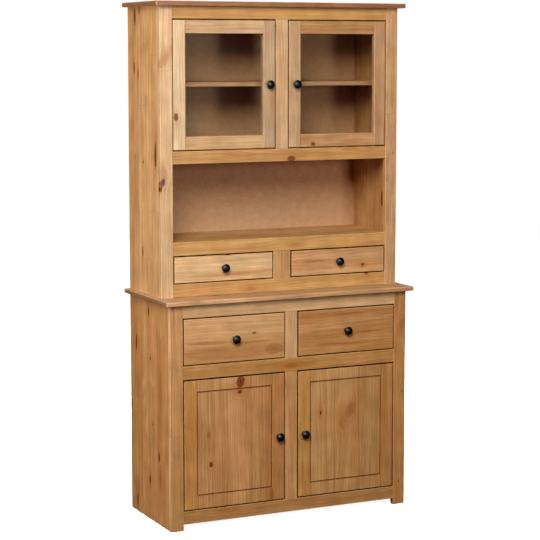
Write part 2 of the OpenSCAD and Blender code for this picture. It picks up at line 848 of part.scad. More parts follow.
module drawer_box(w, h, len) {
    x0 = lock_gap + box_inset;
    x1 = w - door_gap - box_inset;
    side_h = h - drawer_headroom;
    back_z = drawer_bottom_z + drawer_bottom_t + glue_gap;
    difference() {
        for (x = [x0, x1 - drawer_side_t])
            translate([x, drawer_front_t, 0]) cube([drawer_side_t, len, side_h]);
        drawer_bottom(w, len, glue_gap);
    }
    translate([x0 + drawer_side_t + glue_gap, drawer_front_t + len - drawer_side_t, back_z])
        cube([x1 - x0 - 2 * drawer_side_t - 2 * glue_gap, drawer_side_t,
              side_h - box_back_drop - back_z]);
    drawer_bottom(w, len, 0);
}

module drawer_knob(w, h) {
    translate([w / 2, 0, h / 2]) knob(drawer_front_t);
}

module base_front(s) { in_base_drawer(s) drawer_front(base_opening_w, base_drawer_h, base_box_len); }
module base_box(s) { in_base_drawer(s) drawer_box(base_opening_w, base_drawer_h, base_box_len); }
module base_knob(s) { in_base_drawer(s) drawer_knob(base_opening_w, base_drawer_h); }

module hutch_front(s) {
    in_hutch_drawer(s) drawer_front(hutch_drawer_opening_w, hutch_drawer_h, hutch_box_len);
}

module hutch_box(s) {
    in_hutch_drawer(s) drawer_box(hutch_drawer_opening_w, hutch_drawer_h, hutch_box_len);
}

module hutch_knob(s) {
    in_hutch_drawer(s) drawer_knob(hutch_drawer_opening_w, hutch_drawer_h);
}

module glazed_left_stiles() { color(PINE_LIGHT) glazed_stiles(LEFT); }
module glazed_left_rails() { color(PINE) glazed_rails(LEFT); }
module glazed_left_pane() { color(GLASS) glazed_pane(LEFT); }
module glazed_left_clips() { color(STEEL) glazed_clips(LEFT); }
module glazed_left_knob() { color(BRONZE) glazed_knob(LEFT); }
module glazed_right_stiles() { color(PINE_LIGHT) glazed_stiles(RIGHT); }
module glazed_right_rails() { color(PINE) glazed_rails(RIGHT); }
module glazed_right_pane() { color(GLASS) glazed_pane(RIGHT); }
module glazed_right_clips() { color(STEEL) glazed_clips(RIGHT); }
module glazed_right_knob() { color(BRONZE) glazed_knob(RIGHT); }
module panel_left_stiles() { color(PINE) panel_stiles(LEFT); }
module panel_left_field() { color(PINE_DARK) panel_field(LEFT); }
module panel_left_knob() { color(BRONZE) panel_knob(LEFT); }
module panel_right_stiles() { color(PINE) panel_stiles(RIGHT); }
module panel_right_field() { color(PINE_DARK) panel_field(RIGHT); }
module panel_right_knob() { color(BRONZE) panel_knob(RIGHT); }
module base_drawer_left_front() { color(PINE) base_front(LEFT); }
module base_drawer_left_box() { color(PINE_LIGHT) base_box(LEFT); }
module base_drawer_left_knob() { color(BRONZE) base_knob(LEFT); }
module base_drawer_right_front() { color(PINE) base_front(RIGHT); }
module base_drawer_right_box() { color(PINE_LIGHT) base_box(RIGHT); }
module base_drawer_right_knob() { color(BRONZE) base_knob(RIGHT); }
module hutch_drawer_left_front() { color(PINE_LIGHT) hutch_front(LEFT); }
module hutch_drawer_left_box() { color(PINE_LIGHT) hutch_box(LEFT); }
module hutch_drawer_left_knob() { color(BRONZE) hutch_knob(LEFT); }
module hutch_drawer_right_front() { color(PINE_LIGHT) hutch_front(RIGHT); }
module hutch_drawer_right_box() { color(PINE_LIGHT) hutch_box(RIGHT); }
module hutch_drawer_right_knob() { color(BRONZE) hutch_knob(RIGHT); }

base_side_left();
base_side_right();
base_floor();
base_back();
base_stile_left();
base_stile_right();
base_top_rail();
base_mid_rail();
base_bottom_rail();
base_drawer_mullion();
base_door_mullion();
base_shelf();
counter();
hutch_side_left();
hutch_side_right();
hutch_back();
hutch_stile_left();
hutch_stile_right();
hutch_top_rail();
cupboard_rail();
niche_rail();
hutch_bottom_rail();
hutch_door_mullion();
hutch_drawer_mullion();
cupboard_floor();
niche_floor();
hutch_shelf();
cornice();
drawer_runners();
shelf_pins();
pivot_pins();
door_catches();
glazed_left_stiles();
glazed_left_rails();
glazed_left_pane();
glazed_left_clips();
glazed_left_knob();
glazed_right_stiles();
glazed_right_rails();
glazed_right_pane();
glazed_right_clips();
glazed_right_knob();
panel_left_stiles();
panel_left_field();
panel_left_knob();
panel_right_stiles();
panel_right_field();
panel_right_knob();
base_drawer_left_front();
base_drawer_left_box();
base_drawer_left_knob();
base_drawer_right_front();
base_drawer_right_box();
base_drawer_right_knob();
hutch_drawer_left_front();
hutch_drawer_left_box();
hutch_drawer_left_knob();
hutch_drawer_right_front();
hutch_drawer_right_box();
hutch_drawer_right_knob();
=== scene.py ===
import math

import bmesh
import bpy
from mathutils import Euler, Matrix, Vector


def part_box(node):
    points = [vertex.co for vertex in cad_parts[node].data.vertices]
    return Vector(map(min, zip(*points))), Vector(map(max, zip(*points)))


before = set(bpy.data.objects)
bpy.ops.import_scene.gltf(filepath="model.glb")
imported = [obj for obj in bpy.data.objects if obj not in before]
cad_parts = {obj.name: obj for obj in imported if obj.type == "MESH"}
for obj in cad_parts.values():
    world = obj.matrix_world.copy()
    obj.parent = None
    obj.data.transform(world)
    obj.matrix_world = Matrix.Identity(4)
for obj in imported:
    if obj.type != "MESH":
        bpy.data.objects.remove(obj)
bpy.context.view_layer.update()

# Base side panels: each is one panel of pine staves, finger-jointed, edge-glued and sanded, that
# runs from the counter down to the floor. Honey wax leaves the sapwood pale, the growth rings
# brown and the knots red, and it darkens the end grain.
MM = 0.001


def linear(hex_colour):
    """An sRGB hex colour as the linear red, green, blue and alpha that shaders take."""
    channels = [int(hex_colour[i:i + 2], 16) / 255 for i in (1, 3, 5)]
    return [c / 12.92 if c <= 0.04045 else ((c + 0.055) / 1.055) ** 2.4 for c in channels] + [1]


def add(tree, kind, inputs=None, **settings):
    """Adds a node, sets its settings, sets or links its inputs, and returns its outputs."""
    node = tree.nodes.new(kind if kind.startswith("Node") else "ShaderNode" + kind)
    for name, value in settings.items():
        setattr(node, name, value)
    for key, value in (inputs or {}).items():
        if isinstance(value, bpy.types.NodeSocket):
            tree.links.new(value, node.inputs[key])
        else:
            node.inputs[key].default_value = value
    return node.outputs


def new_group(name, takes, gives):
    """A node group with inputs and outputs of those names and kinds."""
    group = bpy.data.node_groups.new(name, "ShaderNodeTree")
    for sockets, in_out in ((takes, "INPUT"), (gives, "OUTPUT")):
        for socket, kind in sockets.items():
            group.interface.new_socket(name=socket, in_out=in_out,
                                       socket_type="NodeSocket" + kind)
    return group


def new_material(name):
    """A material with an empty node tree, and that tree."""
    material = bpy.data.materials.new(name)
    material.use_nodes = True
    material.node_tree.nodes.clear()
    return material, material.node_tree


def cover(nodes, material, shader):
    """Ends a material's tree with its shader, and puts the material on CAD nodes."""
    add(material.node_tree, "OutputMaterial", {0: shader[0]})
    for node in nodes:
        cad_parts[node].material_slots[0].material = material


# How a sawn board shows the trunk it came from: the growth rings are cylinders round a pith that
# lies beside or below the board and slightly out of line with it, so they cut the face in lines
# or in long arches. Earlywood turns to dark latewood slowly, and back within a hair. Real fibres
# are 0.03 mm wide and wouldn't show, so the fibre and the hair are drawn as coarse as they need.
PITH_REACH = (2.0, 0.15, 0.09)
PITH_START = (-1.0, -0.075, 0.03)
TILT_REACH = (0.0, 0.07, 0.06)
TILT_START = (0.0, -0.035, -0.03)
OTHER_LUCK = 17.3
SWAY = 14 * MM
SWAY_LENGTH = 400 * MM
RIPPLE = 1.6 * MM
RIPPLE_LENGTH = 90 * MM
GOOD_YEARS = 2.2
GOOD_YEARS_PACE = 0.35
LATE_BEGINS = 0.30
LATE_FULL = 0.88
LATE_ENDS = 0.91
RING_FAINTEST = 0.25
RING_DEPTH = 0.58
STREAK_WIDTH = 30 * MM
STREAK_LENGTH = 700 * MM
FIBRE_WIDTH = 2.8 * MM
FIBRE_LENGTH = 160 * MM
FIBRE_DARK = 0.79
FIBRE_PALE = 1.19
HAIR_WIDTH = 0.9 * MM
HAIR_LENGTH = 50 * MM
HAIR_DARK = 0.87
HAIR_PALE = 1.12
BLUSH_LENGTH = 280 * MM
RESIN_WIDTH = 4.2 * MM
RESIN_LENGTH = 160 * MM
RESIN_DEPTH = 0.55

# Nearly all values of a noise lie between the least and the most of these, and most of them lie
# between the low and the high
NOISE_LEAST = 0.25
NOISE_LOW = 0.3
NOISE_HIGH = 0.7
NOISE_MOST = 0.75

figure = new_group("sawn_pine_figure",
                   {"Board": "Vector", "Seed": "Float", "Ring": "Float", "Tone": "Vector"},
                   {"Color": "Color", "Late": "Float", "Hair": "Float"})
board = add(figure, "NodeGroupInput")
luck = add(figure, "TexWhiteNoise", {"W": board["Seed"]}, noise_dimensions="1D")["Color"]
other_seed = add(figure, "Math", {0: board["Seed"], 1: OTHER_LUCK}, operation="ADD")[0]
other_luck = add(figure, "TexWhiteNoise", {"W": other_seed}, noise_dimensions="1D")["Color"]
pith = add(figure, "VectorMath", {0: luck, 1: PITH_REACH, 2: PITH_START}, operation="MULTIPLY_ADD")
tilt = add(figure, "VectorMath", {0: other_luck, 1: TILT_REACH, 2: TILT_START},
           operation="MULTIPLY_ADD")
tilted = add(figure, "VectorRotate", {"Vector": board["Board"], "Rotation": tilt[0]},
             rotation_type="EULER_XYZ")
trunk = add(figure, "VectorMath", {0: tilted[0], 1: pith[0]}, operation="ADD")[0]


def streaks(tree, at, length, width, detail=2.0):
    """Noise drawn out along the grain: blotches of that length and width in metres, 0 to 1."""
    stretched = add(tree, "VectorMath", {0: at, 1: (1 / length, 1 / width, 1 / width)},
                    operation="MULTIPLY")[0]
    return add(tree, "TexNoise", {"Vector": stretched, "Scale": 1.0, "Detail": detail})


def moved(tree, at, noise, reach):
    """Moves a place across the grain by a noise colour, up to half of reach each way."""
    centred = add(tree, "VectorMath", {0: noise, 1: (0.5, 0.5, 0.5)}, operation="SUBTRACT")[0]
    return add(tree, "VectorMath", {0: centred, 1: (0.0, reach, reach), 2: at},
               operation="MULTIPLY_ADD")[0]


sway = streaks(figure, trunk, SWAY_LENGTH, SWAY_LENGTH / 4, 1.0)["Color"]
ripple = streaks(figure, trunk, RIPPLE_LENGTH, RIPPLE_LENGTH / 8, 1.0)["Color"]
grown = moved(figure, moved(figure, trunk, sway, SWAY), ripple, RIPPLE)
radius = add(figure, "VectorMath", {0: grown, 1: (0, 1, 1)}, operation="MULTIPLY")[0]
radius = add(figure, "VectorMath", {0: radius}, operation="LENGTH")["Value"]
years = add(figure, "Math", {0: radius, 1: board["Ring"]}, operation="DIVIDE")[0]
good_years = add(figure, "TexNoise", {"W": years, "Scale": GOOD_YEARS_PACE, "Detail": 1.0},
                 noise_dimensions="1D")[0]
years = add(figure, "Math", {0: good_years, 1: GOOD_YEARS, 2: years}, operation="MULTIPLY_ADD")[0]
season = add(figure, "Math", {0: years}, operation="FRACT")[0]
summer = add(figure, "MapRange", {0: season, 1: LATE_BEGINS, 2: LATE_FULL},
             interpolation_type="SMOOTHSTEP")[0]
winter = add(figure, "MapRange", {0: season, 1: 1.0, 2: LATE_ENDS},
             interpolation_type="SMOOTHSTEP")[0]
late = add(figure, "Math", {0: summer, 1: winter}, operation="MULTIPLY")[0]
strong = streaks(figure, trunk, STREAK_LENGTH, STREAK_WIDTH * 1.6)[0]
strong = add(figure, "MapRange", {0: strong, 1: 0.36, 2: 0.64, 3: RING_FAINTEST, 4: 1.0})[0]
late = add(figure, "Math", {0: late, 1: strong}, operation="MULTIPLY")[0]
heart = streaks(figure, trunk, STREAK_LENGTH, STREAK_WIDTH, 3.0)["Color"]
heart = add(figure, "SeparateColor", {0: heart})[1]
heart = add(figure, "MapRange", {0: heart, 1: 0.42, 2: 0.64}, interpolation_type="SMOOTHSTEP")[0]
fibre = streaks(figure, board["Board"], FIBRE_LENGTH, FIBRE_WIDTH)[0]
hair = streaks(figure, board["Board"], HAIR_LENGTH, HAIR_WIDTH)[0]
blush = streaks(figure, trunk, BLUSH_LENGTH, BLUSH_LENGTH / 3)["Color"]
blush = add(figure, "SeparateColor", {0: blush})[2]
blush = add(figure, "MapRange", {0: blush, 1: 0.35, 2: 0.65}, interpolation_type="SMOOTHSTEP")[0]

# Each tint multiplies the tone of the board
SAPWOOD = (1.05, 1.06, 1.08)
HEARTWOOD = (0.90, 0.84, 0.76)
PINK = (1.00, 0.93, 0.97)
LATEWOOD = (0.74, 0.60, 0.46)
wood = add(figure, "Mix", {"Factor": heart, 4: SAPWOOD, 5: HEARTWOOD}, data_type="VECTOR")[1]
pink = add(figure, "Mix", {"Factor": blush, 4: (1, 1, 1), 5: PINK}, data_type="VECTOR")[1]
wood = add(figure, "VectorMath", {0: wood, 1: pink}, operation="MULTIPLY")[0]
ring_shade = add(figure, "Math", {0: late, 1: RING_DEPTH}, operation="MULTIPLY")[0]
wood = add(figure, "Mix", {"Factor": ring_shade, 4: wood, 5: LATEWOOD}, data_type="VECTOR")[1]
resin = streaks(figure, board["Board"], RESIN_LENGTH, RESIN_WIDTH, 1.0)["Color"]
resin = add(figure, "SeparateColor", {0: resin})[1]
resin = add(figure, "MapRange", {0: resin, 1: 0.57, 2: 0.68, 4: RESIN_DEPTH})[0]
wood = add(figure, "Mix", {"Factor": resin, 4: wood, 5: LATEWOOD}, data_type="VECTOR")[1]
grey = add(figure, "MapRange", {0: fibre, 1: NOISE_LEAST, 2: NOISE_MOST, 3: FIBRE_DARK,
                                4: FIBRE_PALE})[0]
fine = add(figure, "MapRange", {0: hair, 1: NOISE_LEAST, 2: NOISE_MOST, 3: HAIR_DARK,
                                4: HAIR_PALE})[0]
grey = add(figure, "Math", {0: grey, 1: fine}, operation="MULTIPLY")[0]
wood = add(figure, "VectorMath", {0: wood, "Scale": grey}, operation="SCALE")[0]
wood = add(figure, "VectorMath", {0: wood, 1: board["Tone"]}, operation="MULTIPLY")[0]
add(figure, "NodeGroupOutput", {"Color": wood, "Late": late, "Hair": hair})

# A knot is a branch cut across. The grain flows round it, resin darkens a long halo about it, and
# it has rings of its own, a dark pith and, where the branch was dead, a rim of black bark. Sizes
# that aren't in mm are in radii of the knot.
KNOT_SOLID = 0.78
KNOT_ENDS = 1.16
KNOT_RING = 1.9 * MM
KNOT_RING_DEPTH = 0.45
PITH_CORE = 0.05
PITH_ENDS = 0.42
PITH_DEPTH = 0.85
RAGGED_GRAIN = 7.69 * MM
RAGGED = 0.28
BARK_STARTS = 0.66
BARK_SOLID = 0.92
BARK_PATCH = 16.67 * MM
HALO_LENGTH = 2.6
HALO_WIDTH = 1.7
FLOW_LENGTH = 2.0
FLOW_WIDTH = 2.2
FLOW_PUSH = 0.82

knot_group = new_group("pine_knot",
                       {"Board": "Vector", "Flow": "Vector", "Marks": "Vector", "Centre": "Vector",
                        "Radius": "Float", "Stretch": "Float", "Tilt": "Float", "Bark": "Float",
                        "Shown": "Float"},
                       {"Flow": "Vector", "Marks": "Vector"})
branch = add(knot_group, "NodeGroupInput")
away = add(knot_group, "VectorMath", {0: branch["Board"], 1: branch["Centre"]},
           operation="SUBTRACT")[0]
squeeze = add(knot_group, "Math", {0: 1.0, 1: branch["Stretch"]}, operation="DIVIDE")[0]
squeeze = add(knot_group, "CombineXYZ", {0: squeeze, 1: 1.0, 2: 0.0})[0]
away_round = add(knot_group, "VectorRotate", {"Vector": away, "Angle": branch["Tilt"]},
                 rotation_type="Z_AXIS")[0]
away_round = add(knot_group, "VectorMath", {0: away_round, 1: squeeze}, operation="MULTIPLY")[0]
per_radius = add(knot_group, "Math", {0: 1.0, 1: branch["Radius"]}, operation="DIVIDE")[0]
away_round = add(knot_group, "VectorMath", {0: away_round, "Scale": per_radius},
                 operation="SCALE")[0]


def fades(long, wide, power):
    """1 in the middle of the knot, falling to 0 over some times its length and its width."""
    spread = add(knot_group, "VectorMath", {0: away_round, 1: (1 / long, 1 / wide, 0)},
                 operation="MULTIPLY")[0]
    square = add(knot_group, "VectorMath", {0: spread, 1: spread}, operation="DOT_PRODUCT")
    square = add(knot_group, "Math", {0: square["Value"], 1: -power}, operation="MULTIPLY")[0]
    return add(knot_group, "Math", {0: square}, operation="EXPONENT")[0]


ragged = add(knot_group, "TexNoise", {"Vector": branch["Board"], "Scale": 1 / RAGGED_GRAIN,
                                      "Detail": 2})[0]
ragged = add(knot_group, "MapRange", {0: ragged, 3: -RAGGED, 4: RAGGED})[0]
reach = add(knot_group, "VectorMath", {0: away_round}, operation="LENGTH")["Value"]
reach = add(knot_group, "Math", {0: reach, 1: ragged}, operation="ADD")[0]
inside = add(knot_group, "MapRange", {0: reach, 1: KNOT_ENDS, 2: KNOT_SOLID},
             interpolation_type="SMOOTHSTEP")[0]
inside = add(knot_group, "Math", {0: inside, 1: branch["Shown"]}, operation="MULTIPLY")[0]
turns = add(knot_group, "Math", {0: reach, 1: branch["Radius"]}, operation="MULTIPLY")[0]
turns = add(knot_group, "Math", {0: turns, 1: 2 * math.pi / KNOT_RING}, operation="MULTIPLY")[0]
turns = add(knot_group, "Math", {0: turns}, operation="SINE")[0]
turns = add(knot_group, "MapRange", {0: turns, 1: -1.0, 2: 1.0, 3: 0.0, 4: KNOT_RING_DEPTH})[0]
middle = add(knot_group, "MapRange", {0: reach, 1: PITH_ENDS, 2: PITH_CORE, 4: PITH_DEPTH})[0]
bark_in = add(knot_group, "MapRange", {0: reach, 1: BARK_STARTS, 2: BARK_SOLID},
              interpolation_type="SMOOTHSTEP")[0]
bark = add(knot_group, "TexNoise", {"Vector": branch["Board"], "Scale": 1 / BARK_PATCH,
                                    "Detail": 1})[0]
bark = add(knot_group, "MapRange", {0: bark, 1: 0.40, 2: 0.56, 4: branch["Bark"]})[0]
bark = add(knot_group, "Math", {0: bark_in, 1: bark}, operation="MULTIPLY")[0]
dark = add(knot_group, "Math", {0: turns, 1: middle}, operation="MAXIMUM")[0]
dark = add(knot_group, "Math", {0: dark, 1: bark}, operation="MAXIMUM")[0]
dark = add(knot_group, "Math", {0: dark, 1: inside}, operation="MULTIPLY")[0]
halo = fades(HALO_LENGTH, HALO_WIDTH, 0.9)
marks = add(knot_group, "CombineXYZ", {0: halo, 1: inside, 2: dark})[0]
marks = add(knot_group, "VectorMath", {0: branch["Marks"], 1: marks}, operation="MAXIMUM")[0]
push = add(knot_group, "Math", {0: fades(FLOW_LENGTH, FLOW_WIDTH, 1.0), 1: -FLOW_PUSH},
           operation="MULTIPLY")[0]
push = add(knot_group, "CombineXYZ", {0: 0.0, 1: push, 2: 0.0})[0]
flow = add(knot_group, "VectorMath", {0: away, 1: push, 2: branch["Flow"]},
           operation="MULTIPLY_ADD")[0]
add(knot_group, "NodeGroupOutput", {"Flow": flow, "Marks": marks})


def grown_in(tree, on_board, knots, swirls):
    """Lays knots and swirls in a board: how the grain flows, and their halo, wood and dark."""
    flow = on_board
    marks = (0.0, 0.0, 0.0)
    whole = [knot + (1.0,) for knot in knots]
    faint = [swirl[:5] + (0.0, swirl[5]) for swirl in swirls]
    for x, y, radius, stretch, tilt, bark, shown in whole + faint:
        knot = add(tree, "Group", {
            "Board": on_board, "Flow": flow, "Marks": marks,
            "Centre": (x * MM, y * MM, 0.0), "Radius": radius * MM, "Stretch": stretch,
            "Tilt": math.radians(tilt), "Bark": bark, "Shown": shown},
            node_tree=knot_group)
        flow = knot["Flow"]
        marks = knot["Marks"]
    return flow, marks


SEAM_WIDTH = 1.5 * MM     # a real glue line, at 0.2 mm, wouldn't show
FINGER_JOINT = 0.5
STAGGER = 47 * MM

# What another piece of wood adds to the seed
NEXT_STAVE = 3.7
NEXT_LENGTH = 1.9
SECOND_BOARD = 5.3


def glued_up(tree, x, y, seed, tone, staves, joints, pair):
    """Glues a panel up: each stave, and each length between finger joints, is another piece.

    Returns the seed and the colour of the piece at each point, the glue lines, and how far the
    point lies across its own board.
    """
    piece = seed
    lines = 0.0
    paint = linear(tone)[:3]
    for start, stave_tone in staves:
        past = add(tree, "Math", {0: y, 1: start * MM}, operation="GREATER_THAN")[0]
        piece = add(tree, "Math", {0: past, 1: NEXT_STAVE, 2: piece}, operation="MULTIPLY_ADD")[0]
        paint = add(tree, "Mix", {0: past, 4: paint, 5: linear(stave_tone)[:3]},
                    data_type="VECTOR")[1]
        line = add(tree, "Math", {0: y, 1: start * MM, 2: SEAM_WIDTH / 2}, operation="COMPARE")[0]
        lines = add(tree, "Math", {0: lines, 1: line}, operation="MAXIMUM")[0]
    stagger = add(tree, "Math", {0: piece, 1: STAGGER, 2: x}, operation="MULTIPLY_ADD")[0]
    for joint in joints:
        at = joint * MM + STAGGER * seed
        past = add(tree, "Math", {0: stagger, 1: at}, operation="GREATER_THAN")[0]
        piece = add(tree, "Math", {0: past, 1: NEXT_LENGTH, 2: piece}, operation="MULTIPLY_ADD")[0]
        line = add(tree, "Math", {0: stagger, 1: at, 2: SEAM_WIDTH / 2}, operation="COMPARE")[0]
        line = add(tree, "Math", {0: line, 1: FINGER_JOINT}, operation="MULTIPLY")[0]
        lines = add(tree, "Math", {0: lines, 1: line}, operation="MAXIMUM")[0]
    if pair:
        second = add(tree, "Math", {0: y, 1: 0.0}, operation="GREATER_THAN")[0]
        piece = add(tree, "Math", {0: second, 1: SECOND_BOARD, 2: piece},
                    operation="MULTIPLY_ADD")[0]
        paint = add(tree, "Mix", {0: second, 4: paint, 5: linear(pair[1])[:3]},
                    data_type="VECTOR")[1]
        y = add(tree, "Math", {0: y}, operation="ABSOLUTE")[0]
        y = add(tree, "Math", {0: y, 1: pair[0] * MM}, operation="SUBTRACT")[0]
    return piece, paint, lines, y


# How far in from an edge a board is paled, partly by wear and partly as painted highlight, and
# how far back from its face the faces in a gap are painted dark, as painted shade
EDGE_WEAR_AND_HIGHLIGHT = 3.2 * MM
EDGE_PALE = 0.45
EDGE_PATCH = 38.5 * MM
GAP_STARTS = 0.9 * MM
GAP_DARK = 3.0 * MM
SHOULDER = 2.2 * MM


def handled(tree, on_board, point, half, worn_highlit_share, shoulders, gap_shade_strength):
    """A board's edge marks: pale edges, partly wear and partly painted highlight; dark joint
    lines, partly wax and partly painted shade; and painted shade on the faces inside its gaps.
    """
    inset = add(tree, "VectorMath", {0: point}, operation="ABSOLUTE")[0]
    inset = add(tree, "VectorMath", {0: half, 1: inset}, operation="SUBTRACT")[0]
    to_end, to_side, to_face = add(tree, "SeparateXYZ", {0: inset})

    # The second smallest distance to the sides of the board is small only along its edges
    least = add(tree, "Math", {0: to_end, 1: to_side}, operation="MINIMUM")[0]
    most = add(tree, "Math", {0: to_end, 1: to_side}, operation="MAXIMUM")[0]
    most = add(tree, "Math", {0: most, 1: to_face}, operation="MINIMUM")[0]
    to_edge = add(tree, "Math", {0: least, 1: most}, operation="MAXIMUM")[0]
    patchy = add(tree, "TexNoise", {"Vector": on_board, "Scale": 1 / EDGE_PATCH,
                                    "Detail": 2.0})[0]
    patchy = add(tree, "MapRange", {0: patchy, 1: NOISE_LOW, 2: NOISE_HIGH, 3: 0.1, 4: 1.0})[0]
    # Painted highlight, with some wear: a pale band along each edge, where the eased arris catches
    # light
    worn_and_highlit = add(tree, "MapRange", {0: to_edge, 1: EDGE_WEAR_AND_HIGHLIGHT, 2: 0.0, 4: EDGE_PALE * worn_highlit_share})[0]
    worn_and_highlit = add(tree, "Math", {0: worn_and_highlit, 1: patchy}, operation="MULTIPLY")[0]
    # Painted shade, with wax in the joint: a dark line at each end, where a rail or mullion meets
    shoulder = add(tree, "MapRange", {0: to_end, 1: SHOULDER, 2: 0.4 * SHOULDER, 4: shoulders})[0]
    # Painted shade: faces that lie deeper than a gap's mouth are darkened, as shade in gaps and
    # grooves
    painted_gap_shade = add(tree, "MapRange", {0: to_face, 1: GAP_STARTS, 2: GAP_DARK, 4: gap_shade_strength})[0]
    return worn_and_highlit, shoulder, painted_gap_shade


# The stains, with the painted shade and painted highlight, how much of each shows, and how far
# the wax and the wood differ from the mean
HALO = linear("#A9642B")
HALO_SHARE = 0.56
KNOT = linear("#84471C")
KNOT_DARK = linear("#3F2009")
# Glue lines and joint lines; the joint lines are partly painted shade
JOINT_LINE_AND_SHADE = linear("#6E4322")
GLUE_SHARE = 0.6
END_GRAIN = linear("#74432A")
END_SHARE = 0.75
# Painted shade for the faces inside gaps and grooves
GAP_SHADE = linear("#44230C")
# Pale edges: partly wear, partly painted highlight
WORN_AND_HIGHLIT = linear("#E8C08A")
WAX_CLOUD = 77 * MM
WAX_DARK = 0.83
WAX_PALE = 1.15
PIECE_DARK = 0.95
PIECE_PALE = 1.05
WAX_GLOSSY = 0.44
WAX_DULL = 0.56
END_DULLER = 0.22
LATE_RELIEF = 0.5
LINE_RELIEF = -1.5

# How squarely a face looks along the board or across it to count as its end or its edge
TURNED_FROM = 0.55
TURNED_FULL = 0.95


def waxed_pine(name, nodes, lie, tone, seed, ring=4.5, pair=None, staves=(), joints=(), knots=(),
               swirls=(), worn_highlit_share=1.0, edge=None, shoulders=0.0, gap_shade_strength=0.0):
    """Gives CAD nodes one sanded and waxed pine, as one board or as one panel of staves.

    lie names the axes along the grain, across it and through the board, and tone is its mean
    colour. Lengths are in mm from the middle of the nodes. staves are where each further stave
    starts and its tone, joints are finger joints along the board, and knots and swirls are
    (along, across, radius, stretch, tilt in degrees), with how much bark a knot has or how much
    of its knot a swirl shows. pair is how far each of two like boards lies from their middle,
    and the tone of the second. edge is the tone of the long edges. shoulders is how dark the
    joint lines at the ends are, partly wax and partly painted shade. The last argument is how
    dark the shade is that is painted on the faces inside the gaps.
    """
    order = ["xyz".index(axis) for axis in lie]
    boxes = [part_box(node) for node in nodes]
    low = [min(box[0][i] for box in boxes) for i in order]
    high = [max(box[1][i] for box in boxes) for i in order]
    centre = [(start + end) / 2 for start, end in zip(low, high)]
    half = [(end - start) / 2 for start, end in zip(low, high)]
    if pair:
        half[1] -= pair[0] * MM

    material, tree = new_material(name)
    place = add(tree, "TexCoord")
    along, across, through = [add(tree, "SeparateXYZ", {0: place["Object"]})[i] for i in order]
    turned = add(tree, "CombineXYZ", {0: along, 1: across, 2: through})[0]
    on_board = add(tree, "VectorMath", {0: turned, 1: centre}, operation="SUBTRACT")[0]
    flow, marks = grown_in(tree, on_board, knots, swirls)
    x, y, z = add(tree, "SeparateXYZ", {0: on_board})
    piece, paint, lines, y = glued_up(tree, x, y, seed, tone, staves, joints, pair)
    grain = add(tree, "Group", {"Board": flow, "Seed": piece, "Ring": ring * MM, "Tone": paint},
                node_tree=figure)
    point = add(tree, "CombineXYZ", {0: x, 1: y, 2: z})[0]
    worn_and_highlit, shoulder, painted_gap_shade = handled(tree, on_board, point, half, worn_highlit_share, shoulders, gap_shade_strength)
    lines = add(tree, "Math", {0: lines, 1: GLUE_SHARE}, operation="MULTIPLY")[0]
    lines = add(tree, "Math", {0: lines, 1: shoulder}, operation="MAXIMUM")[0]

    # Wax takes unevenly, so a panel is a few per cent lighter here and darker there
    cloud = add(tree, "TexNoise", {"Vector": on_board, "Scale": 1 / WAX_CLOUD, "Detail": 4.0})[0]
    cloud = add(tree, "MapRange", {0: cloud, 1: NOISE_LEAST, 2: NOISE_MOST, 3: WAX_DARK,
                                   4: WAX_PALE})[0]
    own = add(tree, "TexWhiteNoise", {"W": piece}, noise_dimensions="1D")["Value"]
    own = add(tree, "MapRange", {0: own, 3: PIECE_DARK, 4: PIECE_PALE})[0]
    shade = add(tree, "Math", {0: cloud, 1: own}, operation="MULTIPLY")[0]
    colour = add(tree, "VectorMath", {0: grain["Color"], "Scale": shade}, operation="SCALE")[0]

    facing = add(tree, "VectorMath", {0: place["Normal"]}, operation="ABSOLUTE")[0]
    facing = add(tree, "SeparateXYZ", {0: facing})
    end = add(tree, "MapRange", {0: facing[order[0]], 1: TURNED_FROM, 2: TURNED_FULL})[0]
    if edge:
        sided = add(tree, "MapRange", {0: facing[order[1]], 1: TURNED_FROM, 2: TURNED_FULL})[0]
        gain = [new / old for new, old in zip(linear(edge)[:3], linear(tone)[:3])]
        pale = add(tree, "VectorMath", {0: colour, 1: gain}, operation="MULTIPLY")[0]
        colour = add(tree, "Mix", {0: sided, 6: colour, 7: pale}, data_type="RGBA")[2]

    halo, knotted, knot_dark = add(tree, "SeparateXYZ", {0: marks})
    halo = add(tree, "Math", {0: halo, 1: HALO_SHARE}, operation="MULTIPLY")[0]
    ends = add(tree, "Math", {0: end, 1: END_SHARE}, operation="MULTIPLY")[0]
    # The pale edges carry painted highlight, and the joint and gap marks painted shade
    for share, stain in ((worn_and_highlit, WORN_AND_HIGHLIT), (ends, END_GRAIN), (halo, HALO), (knotted, KNOT),
                         (knot_dark, KNOT_DARK), (lines, JOINT_LINE_AND_SHADE), (painted_gap_shade, GAP_SHADE)):
        colour = add(tree, "Mix", {0: share, 6: colour, 7: stain}, data_type="RGBA")[2]

    rough = add(tree, "MapRange", {0: grain["Hair"], 1: 0.2, 2: 0.8, 3: WAX_GLOSSY,
                                   4: WAX_DULL})[0]
    rough = add(tree, "Math", {0: end, 1: END_DULLER, 2: rough}, operation="MULTIPLY_ADD")[0]
    relief = add(tree, "Math", {0: grain["Late"], 1: LATE_RELIEF, 2: grain["Hair"]},
                 operation="MULTIPLY_ADD")[0]
    relief = add(tree, "Math", {0: lines, 1: LINE_RELIEF, 2: relief},
                 operation="MULTIPLY_ADD")[0]
    normal = add(tree, "Bump", {"Strength": 0.35, "Distance": 0.25 * MM, "Height": relief})[0]
    shader = add(tree, "BsdfPrincipled", {
        "Base Color": colour, "Roughness": rough, "Normal": normal, "IOR": 1.5,
        "Coat Weight": 0.10, "Coat Roughness": 0.35})
    cover(nodes, material, shader)


